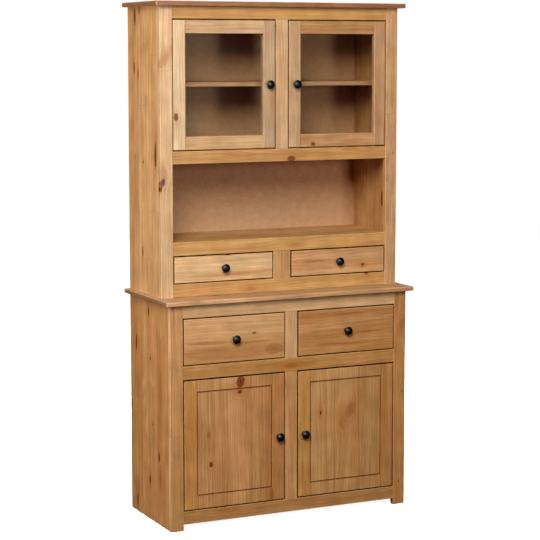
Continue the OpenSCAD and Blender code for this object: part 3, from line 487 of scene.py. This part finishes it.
waxed_pine("waxed_pine_base_side_left", ["base_side_left"], "zyx", "#C68F58", 2.0, ring=5.0,
           staves=((-81, "#C9915A"), (7, "#CB945D"), (68, "#C48D57"), (132, "#C08952")),
           joints=(-160, 260),
           knots=((346, 1, 5, 3.0, 0, 0.5), (223, 119, 7, 4.0, 0, 0.3), (184, -13, 4, 1.6, 0, 0.9),
                  (-11, 170, 6, 3.5, 0, 0.8), (-45, -31, 3, 1.3, 0, 0.9),
                  (-150, -90, 7, 2.6, 0, 0.5), (-247, -3, 6, 2.4, 0, 0.6),
                  (-350, 118, 6, 4.0, 0, 0.9)),
           swirls=((92, -104, 12, 5.0, 0, 0.12), (-76, -90, 10, 4.0, 0, 0.0),
                   (-228, -98, 12, 3.0, 0, 0.25)))
waxed_pine("waxed_pine_base_side_right", ["base_side_right"], "zyx", "#C8915A", 31.0, ring=5.0,
           staves=((-104, "#C68F58"), (-30, "#CB945D"), (40, "#C38B57"), (112, "#C9915A")),
           joints=(-210, 140),
           knots=((210, -60, 8, 1.6, 0, 0.4), (-40, 84, 6, 2.0, 0, 0.8), (-240, 8, 10, 1.4, 0, 0.3),
                  (305, 130, 5, 2.2, 0, 0.6)),
           swirls=((60, -120, 12, 4.0, 0, 0.0),))

# Base stiles: two solid pine boards glued to the front edges of the side panels. They are 1 mm
# proud of the rails and their long edges are eased, and their lower ends are the front feet.
waxed_pine("waxed_pine_base_stile_left", ["base_stile_left"], "zxy", "#BE8B56", 5.0, ring=4.0,
           joints=(-60,), edge="#DFAB77")
waxed_pine("waxed_pine_base_stile_right", ["base_stile_right"], "zxy", "#B9844C", 8.0, ring=4.0,
           knots=((24, 10, 2, 1.5, 0, 1.0), (-307, 0, 2, 1.5, 0, 0.8)),
           swirls=((270, 10, 13, 1.6, -20, 0.2),))

# Base rails and mullions: solid pine boards joined by tenons, the rails to the stiles and the
# mullions to the rails. Their faces lie a little behind the stiles, and their shoulders are painted
# dark, partly for wax in the joint and partly as painted shade where they meet.
waxed_pine("waxed_pine_base_top_rail", ["base_top_rail"], "xzy", "#D4AA7A", 11.0, ring=3.6,
           shoulders=0.95)
waxed_pine("waxed_pine_base_mid_rail", ["base_mid_rail"], "xzy", "#BB884C", 14.0, ring=4.2,
           swirls=((-3, -4, 9, 3.0, 0, 0.3),), shoulders=0.95)
waxed_pine("waxed_pine_base_bottom_rail", ["base_bottom_rail"], "xzy", "#B78650", 16.0, ring=4.6,
           swirls=((-242, 12, 6, 3.0, 0, 0.0),), shoulders=0.95)
waxed_pine("waxed_pine_base_drawer_mullion", ["base_drawer_mullion"], "zxy", "#CEA06F", 19.0,
           shoulders=0.85)
waxed_pine("waxed_pine_base_door_mullion", ["base_door_mullion"], "zxy", "#CB9861", 23.0,
           shoulders=0.85)

# Inside the base: the floor board and the loose shelf are panels of staves like the sides. The
# drawer runners of both parts are ledges and guides of planed pine, drawn as the waxed pine is
# but left pale.
waxed_pine("waxed_pine_base_floor", ["base_floor"], "xyz", "#CF9A60", 26.0,
           staves=((-130, "#C9955B"), (-60, "#D39E64"), (18, "#CC975E"), (90, "#D09B61")),
           joints=(-120, 210), worn_highlit_share=0.3)
waxed_pine("waxed_pine_base_shelf", ["base_shelf"], "xyz", "#CF9A60", 29.0,
           staves=((-66, "#C9955B"), (12, "#D39E64"), (80, "#CC975E")), joints=(-180, 240),
           knots=((-150, -40, 8, 1.4, 0, 0.4), (260, 50, 5, 1.8, 0, 0.8)))
waxed_pine("planed_pine_runners", ["drawer_runners"], "yxz", "#D8AC78", 33.0, worn_highlit_share=0.3)

# Base back: a thin sheet of pressed wood fibre, let into the side panels. Its face is smooth and
# matt, and close up it is a felt of pale and brown fibres.
FIELD = linear("#C2976F")
CLOUDS = linear("#BA8D64")
FLECKS = linear("#9C6E48")
CLOUD_SIZE = 25 * MM
FLECK_SIZE = 11.111 * MM
FELT_SIZE = 4.5455 * MM     # single fibres, at 0.05 mm, wouldn't show


def pressed_fibre(name, node, seed):
    """Gives a CAD node a hardboard face, with a seed that shifts its clouds and flecks."""
    material, tree = new_material(name)
    place = add(tree, "TexCoord")["Object"]
    place = add(tree, "VectorMath", {0: place, 1: (seed, seed, seed)}, operation="ADD")[0]
    cloud = add(tree, "TexNoise", {"Vector": place, "Scale": 1 / CLOUD_SIZE, "Detail": 3.0})[0]
    cloud = add(tree, "MapRange", {0: cloud, 1: NOISE_LOW, 2: NOISE_HIGH})[0]
    felt = add(tree, "TexNoise", {"Vector": place, "Scale": 1 / FELT_SIZE, "Detail": 4.0})[0]
    felt = add(tree, "MapRange", {0: felt, 1: NOISE_LOW, 2: NOISE_HIGH, 3: 0.88, 4: 1.10})[0]
    fleck = add(tree, "TexNoise", {"Vector": place, "Scale": 1 / FLECK_SIZE, "Detail": 2.0,
                                   "Distortion": 2.5})[0]
    fleck = add(tree, "MapRange", {0: fleck, 1: 0.60, 2: 0.68, 4: 0.45})[0]
    colour = add(tree, "Mix", {0: cloud, 6: FIELD, 7: CLOUDS}, data_type="RGBA")[2]
    colour = add(tree, "VectorMath", {0: colour, "Scale": felt}, operation="SCALE")[0]
    colour = add(tree, "Mix", {0: fleck, 6: colour, 7: FLECKS}, data_type="RGBA")[2]
    normal = add(tree, "Bump", {"Strength": 0.25, "Distance": 0.2 * MM, "Height": felt})[0]
    shader = add(tree, "BsdfPrincipled", {
        "Base Color": colour, "Roughness": 0.62, "IOR": 1.5, "Normal": normal})
    cover([node], material, shader)


pressed_fibre("pressed_hardboard_base_back", "base_back", 3.1)

# Counter: a panel of staves that runs the whole width, rounded along its front and ends and glued
# down on the base. Its ends show dark end grain.
waxed_pine("waxed_pine_counter", ["counter"], "xyz", "#C39C71", 36.0, ring=4.2,
           staves=((-120, "#BD986C"), (-48, "#C59E73"), (20, "#BB966A"), (84, "#C29B70"),
                   (150, "#C19A6F")),
           knots=((-260, -110, 7, 1.8, 0, 0.4), (300, 60, 9, 1.4, 0, 0.6)), edge="#CA9B6C")

# Hutch sides: panels of pine staves as in the base, finger-jointed a third of the way up. The two
# back staves of the left one are a little darker.
waxed_pine("waxed_pine_hutch_side_left", ["hutch_side_left"], "zyx", "#D6A56D", 41.0, ring=5.0,
           staves=((-58, "#D8A76F"), (47, "#CC9867"), (97, "#CB985A")), joints=(-200, 330),
           knots=((461, 72, 9, 3.2, 0, 0.1), (484, 29, 5, 3.0, 0, 0.5), (285, 80, 6, 3.4, 0, 0.2),
                  (263, 44, 5, 4.0, 0, 0.4), (-37, 1, 4, 1.6, 0, 0.6), (-350, 12, 5, 4.0, 0, 0.4),
                  (-10, -113, 9, 5.0, 0, 0.3)),
           swirls=((42, -120, 9, 4.0, 0, 0.0),))
waxed_pine("waxed_pine_hutch_side_right", ["hutch_side_right"], "zyx", "#B88D5D", 44.0, ring=5.0,
           staves=((-62, "#B28656"), (10, "#BD9263"), (80, "#B68A58")), joints=(-150, 280),
           knots=((-192, -83, 9, 3.0, 0, 0.9), (-295, -90, 4, 3.0, 0, 0.8),
                  (220, 40, 8, 1.5, 0, 0.4)))

# Hutch stiles: solid pine boards with eased edges, as in the base. They stand on the counter, and
# the left one has two knots a little below its middle.
waxed_pine("waxed_pine_hutch_stile_left", ["hutch_stile_left"], "zxy", "#D4AD80", 47.0, ring=4.4,
           joints=(-83, 277), knots=((-99, -14, 8.5, 1.8, -18, 0.2), (-121, -22, 5, 2.2, -12, 0.1)),
           swirls=((311, -8, 12, 2.4, -35, 0.12), (-71, -11, 10, 1.8, 0, 0.0)))
waxed_pine("waxed_pine_hutch_stile_right", ["hutch_stile_right"], "zxy", "#C69969", 52.0,
           ring=4.4, joints=(120,), knots=((-20, 8, 2, 1.5, 0, 0.9),))

# Hutch rails and mullions: solid pine boards joined by tenons, as in the base. The rail under the
# glazed doors has a red knot in its lower edge.
waxed_pine("waxed_pine_hutch_top_rail", ["hutch_top_rail"], "xzy", "#C39251", 55.0, ring=4.0,
           shoulders=0.95)
waxed_pine("waxed_pine_cupboard_rail", ["cupboard_rail"], "xzy", "#C28F52", 58.0, ring=4.0,
           knots=((36, -13, 10, 1.6, 0, 0.5),), swirls=((-189, 6, 9, 2.0, 0, 0.0),), shoulders=0.95)
waxed_pine("waxed_pine_niche_rail", ["niche_rail"], "xzy", "#CD9B5A", 61.0, ring=4.0,
           swirls=((52, -4, 6, 2.0, 0, 0.0),), shoulders=0.95)
waxed_pine("waxed_pine_hutch_bottom_rail", ["hutch_bottom_rail"], "xzy", "#CC9C5D", 64.0,
           ring=4.0, swirls=((-125, -8, 6, 2.0, 0, 0.0),), knots=((337, 20, 3, 2.0, 0, 0.8),),
           shoulders=0.95)
waxed_pine("waxed_pine_hutch_door_mullion", ["hutch_door_mullion"], "zxy", "#CEA879", 67.0,
           shoulders=0.85)
waxed_pine("waxed_pine_hutch_drawer_mullion", ["hutch_drawer_mullion"], "zxy", "#BE915B", 70.0,
           shoulders=0.85)

# Inside the hutch: floor boards of the cupboard and the niche and a loose shelf on pins, all
# panels of pine staves, and a back of pressed fibre like the base's.
waxed_pine("waxed_pine_cupboard_floor", ["cupboard_floor"], "xyz", "#C08D58", 73.0,
           staves=((-10, "#C4915C"), (60, "#BC8954")), joints=(-90, 200), worn_highlit_share=0.3)
waxed_pine("waxed_pine_niche_floor", ["niche_floor"], "xyz", "#CD9E65", 76.0,
           staves=((-86, "#C99A61"), (-20, "#CF9F68"), (52, "#CA9A61")), joints=(-160, 240),
           worn_highlit_share=0.3)
waxed_pine("waxed_pine_hutch_shelf", ["hutch_shelf"], "xyz", "#BE916A", 79.0,
           staves=((-30, "#BA8D68"), (40, "#C1936D")), joints=(-140, 260), worn_highlit_share=0.3,
           edge="#BB8E63")
pressed_fibre("pressed_hardboard_hutch_back", "hutch_back", 7.7)

# Cornice: the hutch's top board, a panel of staves made and rounded as the counter is. Its edges
# have taken more of the wax.
waxed_pine("waxed_pine_cornice", ["cornice"], "xyz", "#C9925F", 82.0, ring=4.2,
           staves=((-90, "#C58E5B"), (-22, "#CB9461"), (44, "#C38C59"), (110, "#C9925F")),
           joints=(-200, 190), edge="#9B6944")

# Glazed doors: pine frames, paler than the carcass, with the stiles running full height and the
# rails tenoned between them. The two stiles of a door share a material, and so do its two rails.
GLAZED_STILE_PAIR = 167.75
GLAZED_RAIL_PAIR = 196.5
waxed_pine("waxed_pine_glazed_left_stiles", ["glazed_left_stiles"], "zxy", "#D7B98B", 85.0,
           pair=(GLAZED_STILE_PAIR, "#BA9872"), knots=((-107, -181, 8, 1.6, 0, 0.2),),
           swirls=((-56, 182, 9, 3.0, 0, 0.0),), gap_shade_strength=0.2)
waxed_pine("waxed_pine_glazed_left_rails", ["glazed_left_rails"], "xzy", "#C89E6B", 88.0,
           pair=(GLAZED_RAIL_PAIR, "#C8A376"), shoulders=0.85, gap_shade_strength=0.2)
waxed_pine("waxed_pine_glazed_right_stiles", ["glazed_right_stiles"], "zxy", "#C29B71", 91.0,
           pair=(GLAZED_STILE_PAIR, "#BC8F65"), gap_shade_strength=0.2)
waxed_pine("waxed_pine_glazed_right_rails", ["glazed_right_rails"], "xzy", "#C09362", 94.0,
           pair=(GLAZED_RAIL_PAIR, "#B18451"), knots=((-97, -209, 7, 1.3, 0, 0.8),),
           swirls=((-121, -194, 6, 2.0, 0, 0.0), (63, -204, 8, 2.0, 0, 0.0),
                   (-97, 183, 6, 3.0, 0, 0.0)),
           shoulders=0.85, gap_shade_strength=0.2)

# Panes: clear float glass, 4 mm thick, loose in the rebates. Lamps shine straight through it, with
# a few per cent lost at each face, so their shadows inside the cupboards stay sharp. Light that has
# bounced off the wood doesn't come back in through them, or the cupboards would look fogged.
SMEAR_SIZE = 111.1 * MM
glass, tree = new_material("clear_float_glass")
place = add(tree, "TexCoord")["Object"]
smear = add(tree, "TexNoise", {"Vector": place, "Scale": 1 / SMEAR_SIZE})[0]
smear = add(tree, "MapRange", {0: smear, 3: 0.0, 4: 0.03})[0]
pane = add(tree, "BsdfPrincipled", {
    "Base Color": linear("#EAEBE7"), "Roughness": smear, "IOR": 1.5, "Transmission Weight": 1.0})
lamp_light = add(tree, "BsdfTransparent", {0: linear("#FAFBF9")})
ray = add(tree, "LightPath")["Is Shadow Ray"]
both = add(tree, "MixShader", {0: ray, 1: pane[0], 2: lamp_light[0]})
cover(["glazed_left_pane", "glazed_right_pane"], glass, both)
bpy.context.scene.cycles.caustics_refractive = False

# Fittings of zinc-plated steel: shelf pins and glazing clips with their screws. The plating is
# bright and slightly mottled.
def mottled_steel(name, colour, spot, least_rough, most_rough, darkest, nodes):
    """Gives CAD nodes a steel whose gloss and shade vary in spots of that size."""
    material, tree = new_material(name)
    place = add(tree, "TexCoord")["Object"]
    spots = add(tree, "TexNoise", {"Vector": place, "Scale": 1 / spot, "Detail": 3.0})[0]
    rough = add(tree, "MapRange", {0: spots, 1: NOISE_LOW, 2: NOISE_HIGH, 3: least_rough,
                                   4: most_rough})[0]
    shade = add(tree, "MapRange", {0: spots, 1: NOISE_LOW, 2: NOISE_HIGH, 3: darkest, 4: 1.0})[0]
    tint = add(tree, "VectorMath", {0: linear(colour)[:3], "Scale": shade}, operation="SCALE")[0]
    shader = add(tree, "BsdfPrincipled", {
        "Base Color": tint, "Metallic": 1.0, "Roughness": rough})
    cover(nodes, material, shader)


mottled_steel("zinc_plated_steel", "#C6C8C4", 2.5 * MM, 0.26, 0.44, 0.85,
              ["shelf_pins", "glazed_left_clips", "glazed_right_clips"])

# Pivot pins: short steel pins pressed into the rails above and below each door, which turns on
# them. They are blackened and oiled, so that they stay dark in the gap.
mottled_steel("blackened_oiled_steel", "#2E2925", 2.0 * MM, 0.45, 0.60, 0.7, ["pivot_pins"])

# Magnetic catches: injection-moulded white nylon, fixed behind the mullions with a lip that the
# door rests against. The mould's fine grain gives them a dull sheen.
MOULD_GRAIN = 1.111 * MM
nylon, tree = new_material("moulded_white_nylon")
place = add(tree, "TexCoord")["Object"]
grit = add(tree, "TexNoise", {"Vector": place, "Scale": 1 / MOULD_GRAIN})[0]
rough = add(tree, "MapRange", {0: grit, 3: 0.38, 4: 0.52})[0]
normal = add(tree, "Bump", {"Strength": 0.2, "Distance": 0.05 * MM, "Height": grit})[0]
shader = add(tree, "BsdfPrincipled", {
    "Base Color": linear("#E6E4DC"), "Roughness": rough, "IOR": 1.53, "Normal": normal})
cover(["door_catches"], nylon, shader)

# Knobs: turned from metal, with a low dome, and finished in black lacquer with a satin gloss. A
# little dust in the lacquer breaks the gloss.
DUST_SIZE = 3.846 * MM     # real specks, at 0.1 mm, wouldn't show
lacquer, tree = new_material("black_lacquered_knob")
place = add(tree, "TexCoord")["Object"]
dust = add(tree, "TexNoise", {"Vector": place, "Scale": 1 / DUST_SIZE, "Detail": 4.0})[0]
tone = add(tree, "MapRange", {0: dust, 1: NOISE_LOW, 2: NOISE_HIGH})[0]
colour = add(tree, "Mix", {0: tone, 6: linear("#141110"), 7: linear("#1C1917")},
             data_type="RGBA")[2]
rough = add(tree, "MapRange", {0: dust, 1: NOISE_LOW, 2: NOISE_HIGH, 3: 0.42, 4: 0.54})[0]
shader = add(tree, "BsdfPrincipled", {
    "Base Color": colour, "Roughness": rough, "IOR": 1.5, "Coat Weight": 0.08,
    "Coat Roughness": 0.30})
cover([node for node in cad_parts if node.endswith("_knob")], lacquer, shader)

# Panel doors: boards glued into one leaf, the outer two as its stiles. A V groove is then cut in
# a rectangle across the seams, which leaves a raised field.
STILE_SEAM = 139.75
waxed_pine("waxed_pine_panel_left", ["panel_left_stiles", "panel_left_field"], "zxy", "#C68E4F",
           97.0, ring=4.6,
           staves=((-STILE_SEAM, "#C6905B"), (-30, "#C38F5B"), (60, "#C5905A"), (118, "#BB834B"),
                   (STILE_SEAM, "#B27C49")),
           knots=((207, 21, 15, 1.4, -15, 0.1), (172, 18, 9, 0.8, 0, 0.2),
                  (-73, -91, 6.5, 1.6, 0, 0.4)),
           swirls=((43, -150, 14, 2.0, 0, 0.0), (31, -100, 7, 1.6, 0, 0.3),
                   (-206, 140, 9, 3.0, 0, 0.3)), worn_highlit_share=0.6, gap_shade_strength=0.5)
waxed_pine("waxed_pine_panel_right", ["panel_right_stiles", "panel_right_field"], "zxy",
           "#C38E4E", 103.0, ring=4.2,
           staves=((-STILE_SEAM, "#C2925B"), (-48, "#BE8D58"), (50, "#C18F5A"),
                   (STILE_SEAM, "#BA834D")),
           knots=((70, -102, 3.5, 2.4, -6, 0.9),),
           swirls=((70, -102, 8, 2.0, 0, 0.0), (70, 17, 18, 1.6, -30, 0.25),
                   (26, -17, 13, 2.2, 0, 0.12)),
           worn_highlit_share=0.6, gap_shade_strength=0.5)

# Drawer fronts: one wide pine board each, with eased edges and the grain running across the
# dresser. The boards are cut far out in the trunk, so their rings are broad.
waxed_pine("waxed_pine_base_drawer_left", ["base_drawer_left_front"], "xzy", "#D6A770", 109.0,
           ring=10.0, knots=((73, 16, 3, 2.4, 0, 0.8),),
           swirls=((150, -44, 19, 2.0, 0, 0.32), (-100, -8, 6, 14.0, 2, 0.26),
                   (60, -15, 5, 16.0, -1, 0.24), (-60, -34, 4, 12.0, 2, 0.16),
                   (10, -44, 27, 7.5, 0, 0.12)), gap_shade_strength=0.2)
waxed_pine("waxed_pine_base_drawer_right", ["base_drawer_right_front"], "xzy", "#C18A52", 112.0,
           ring=10.0, swirls=((13, 60, 5, 12.0, 0, 0.24), (-25, -45, 5, 18.0, 2, 0.24),
                              (90, -10, 4, 14.0, -2, 0.16)), gap_shade_strength=0.2)
waxed_pine("waxed_pine_hutch_drawer_left", ["hutch_drawer_left_front"], "xzy", "#DDB682", 115.0,
           ring=8.5, knots=((15, 45, 2.5, 3.0, 0, 0.8),),
           swirls=((60, -22, 4, 16.0, -1, 0.12),), gap_shade_strength=0.2)
waxed_pine("waxed_pine_hutch_drawer_right", ["hutch_drawer_right_front"], "xzy", "#C79865",
           118.0, ring=8.5, knots=((98, -17, 5, 1.2, 0, 1.0),),
           swirls=((98, -17, 8, 1.3, 0, 0.0), (-96, 5, 4, 11.0, 0, 0.28)),
           gap_shade_strength=0.2)

# Drawer boxes: two sides and a back of planed pine, with a thin bottom let into their grooves.
# They have had no wax, so they are paler than the fronts.
FIRST_BOX_SEED = 121.0
for number, node in enumerate(name for name in sorted(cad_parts) if name.endswith("_box")):
    waxed_pine("planed_pine_" + node, [node], "yzx", "#DDB788", FIRST_BOX_SEED + 3 * number,
               worn_highlit_share=0.4)

# Floor and backdrop: a wide floor of matt paint, whiter away from the dresser, so that it melts
# into the backdrop. A light of its own, from straight above and with no shadows, keeps the
# dresser's shadow pale, and none of that light comes back through the panes.
FLOOR_RADIUS = 9.0
FLOOR_DROP = 0.2 * MM     # keeps the floor clear of the feet
WHITER_FROM = 0.5
WHITEST_FROM = 1.8
floor_mesh = bpy.data.meshes.new("studio_floor")
draft = bmesh.new()
bmesh.ops.create_circle(draft, cap_ends=True, segments=96, radius=FLOOR_RADIUS)
draft.to_mesh(floor_mesh)
draft.free()
floor = bpy.data.objects.new("studio_floor", floor_mesh)
bpy.context.scene.collection.objects.link(floor)
floor.location.z = -FLOOR_DROP
floor.visible_diffuse = False
floor.visible_glossy = False
white, tree = new_material("matt_white_floor")
distance = add(tree, "VectorMath", {0: add(tree, "TexCoord")["Object"]}, operation="LENGTH")
distance = add(tree, "MapRange", {0: distance["Value"], 1: WHITER_FROM, 2: WHITEST_FROM})[0]
colour = add(tree, "Mix", {0: distance, 6: linear("#E9E8E6"), 7: linear("#FBFBFB")},
             data_type="RGBA")[2]
path = add(tree, "LightPath")
bounces = add(tree, "Math", {0: path["Diffuse Depth"], 1: path["Glossy Depth"]}, operation="ADD")[0]
unbounced = add(tree, "Math", {0: 1.0, 1: bounces}, operation="SUBTRACT", use_clamp=True)[0]
colour = add(tree, "VectorMath", {0: colour, "Scale": unbounced}, operation="SCALE")[0]
shader = add(tree, "BsdfDiffuse", {0: colour})
add(tree, "OutputMaterial", {0: shader[0]})
floor_mesh.materials.append(white)

floor_light = bpy.data.lights.new("floor_light", "SUN")
floor_light.energy = 3.6
floor_light.use_shadow = False
floor_light_object = bpy.data.objects.new("floor_light", floor_light)
bpy.context.scene.collection.objects.link(floor_light_object)
lit_alone = bpy.data.collections.new("lit_by_floor_light")
lit_alone.objects.link(floor)
floor_light_object.light_linking.receiver_collection = lit_alone

# Light: soft boxes round the dresser, in a room that is white to the eye but gives little light.
# The key hangs high at the front left, and a low box in front reaches into the cupboards. The one
# behind isn't mirrored in the wax, or the tops would turn white seen from low in front.
world = bpy.data.worlds.new("white_room")
bpy.context.scene.world = world
world.use_nodes = True
tree = world.node_tree
tree.nodes.clear()
ROOM_LIGHT = 0.03
path = add(tree, "LightPath")
bounces = add(tree, "Math", {0: path["Diffuse Depth"], 1: path["Glossy Depth"]}, operation="ADD")[0]
strength = add(tree, "MapRange", {0: bounces, 3: 1.0, 4: ROOM_LIGHT})[0]
room = add(tree, "Background", {0: linear("#FFFFFF"), 1: strength})
add(tree, "OutputWorld", {0: room[0]})


def soft_box(name, place, aim, size, watts, mirrored=True):
    """A square area lamp at a place, turned towards the point that it lights."""
    lamp = bpy.data.lights.new(name, "AREA")
    lamp.shape = "SQUARE"
    lamp.size = size
    lamp.energy = watts
    lamp_object = bpy.data.objects.new(name, lamp)
    bpy.context.scene.collection.objects.link(lamp_object)
    lamp_object.visible_transmission = False
    lamp_object.visible_glossy = mirrored
    lamp_object.location = place
    lamp_object.rotation_euler = (Vector(aim) - Vector(place)).to_track_quat("-Z", "Y").to_euler()


soft_box("key_soft_box", (-2.2, -3.4, 3.28), (0.0, 0.0, 1.1), 1.9, 205.0)
soft_box("front_soft_box", (0.5, -3.5, 1.5), (0.0, 0.0, 1.2), 0.6, 26.0)
soft_box("left_soft_box", (-2.5, -0.3, 1.25), (0.0, 0.0, 0.9), 1.6, 31.0)
soft_box("right_soft_box", (2.8, 1.1, 1.6), (0.4, 0.1, 0.9), 1.4, 24.0)
soft_box("back_soft_box", (1.0, 3.2, 2.1), (0.0, 0.2, 0.9), 1.6, 75.0, mirrored=False)
soft_box("top_soft_box", (0.0, 0.9, 3.6), (0.0, 0.1, 1.0), 1.4, 26.0)

# Camera: at the photograph's angle, a long lens at eye height to the front left. It looks down a
# little, and the rest of the framing is a small shift.
camera_data = bpy.data.cameras.new("camera")
camera_data.lens = 114.44
camera_data.shift_y = -0.05
camera = bpy.data.objects.new("camera", camera_data)
camera.location = (-2.603, -5.473, 1.630)
camera.rotation_euler = Euler([math.radians(angle) for angle in (83.645, 0.0, -25.433)])
bpy.context.scene.collection.objects.link(camera)
bpy.context.scene.camera = camera

# The photograph's film curve: plain, but its darkest tones go down to black. Red has the longest
# toe, so that the shadows turn brown and not red.
RED_TOE = ((0.01, 0.003), (0.03, 0.013), (0.05, 0.029), (0.08, 0.057), (0.16, 0.152), (0.30, 0.30))
GREEN_TOE = ((0.01, 0.003), (0.025, 0.013), (0.05, 0.037), (0.10, 0.092), (0.20, 0.20))
BLUE_TOE = ((0.005, 0.0015), (0.012, 0.006), (0.03, 0.022), (0.07, 0.064), (0.15, 0.15))
view = bpy.context.scene.view_settings
view.view_transform = "Standard"
view.use_curve_mapping = True
for curve, toe in zip(view.curve_mapping.curves, (RED_TOE, GREEN_TOE, BLUE_TOE)):
    for given, shown in toe:
        curve.points.new(given, shown)
view.curve_mapping.update()
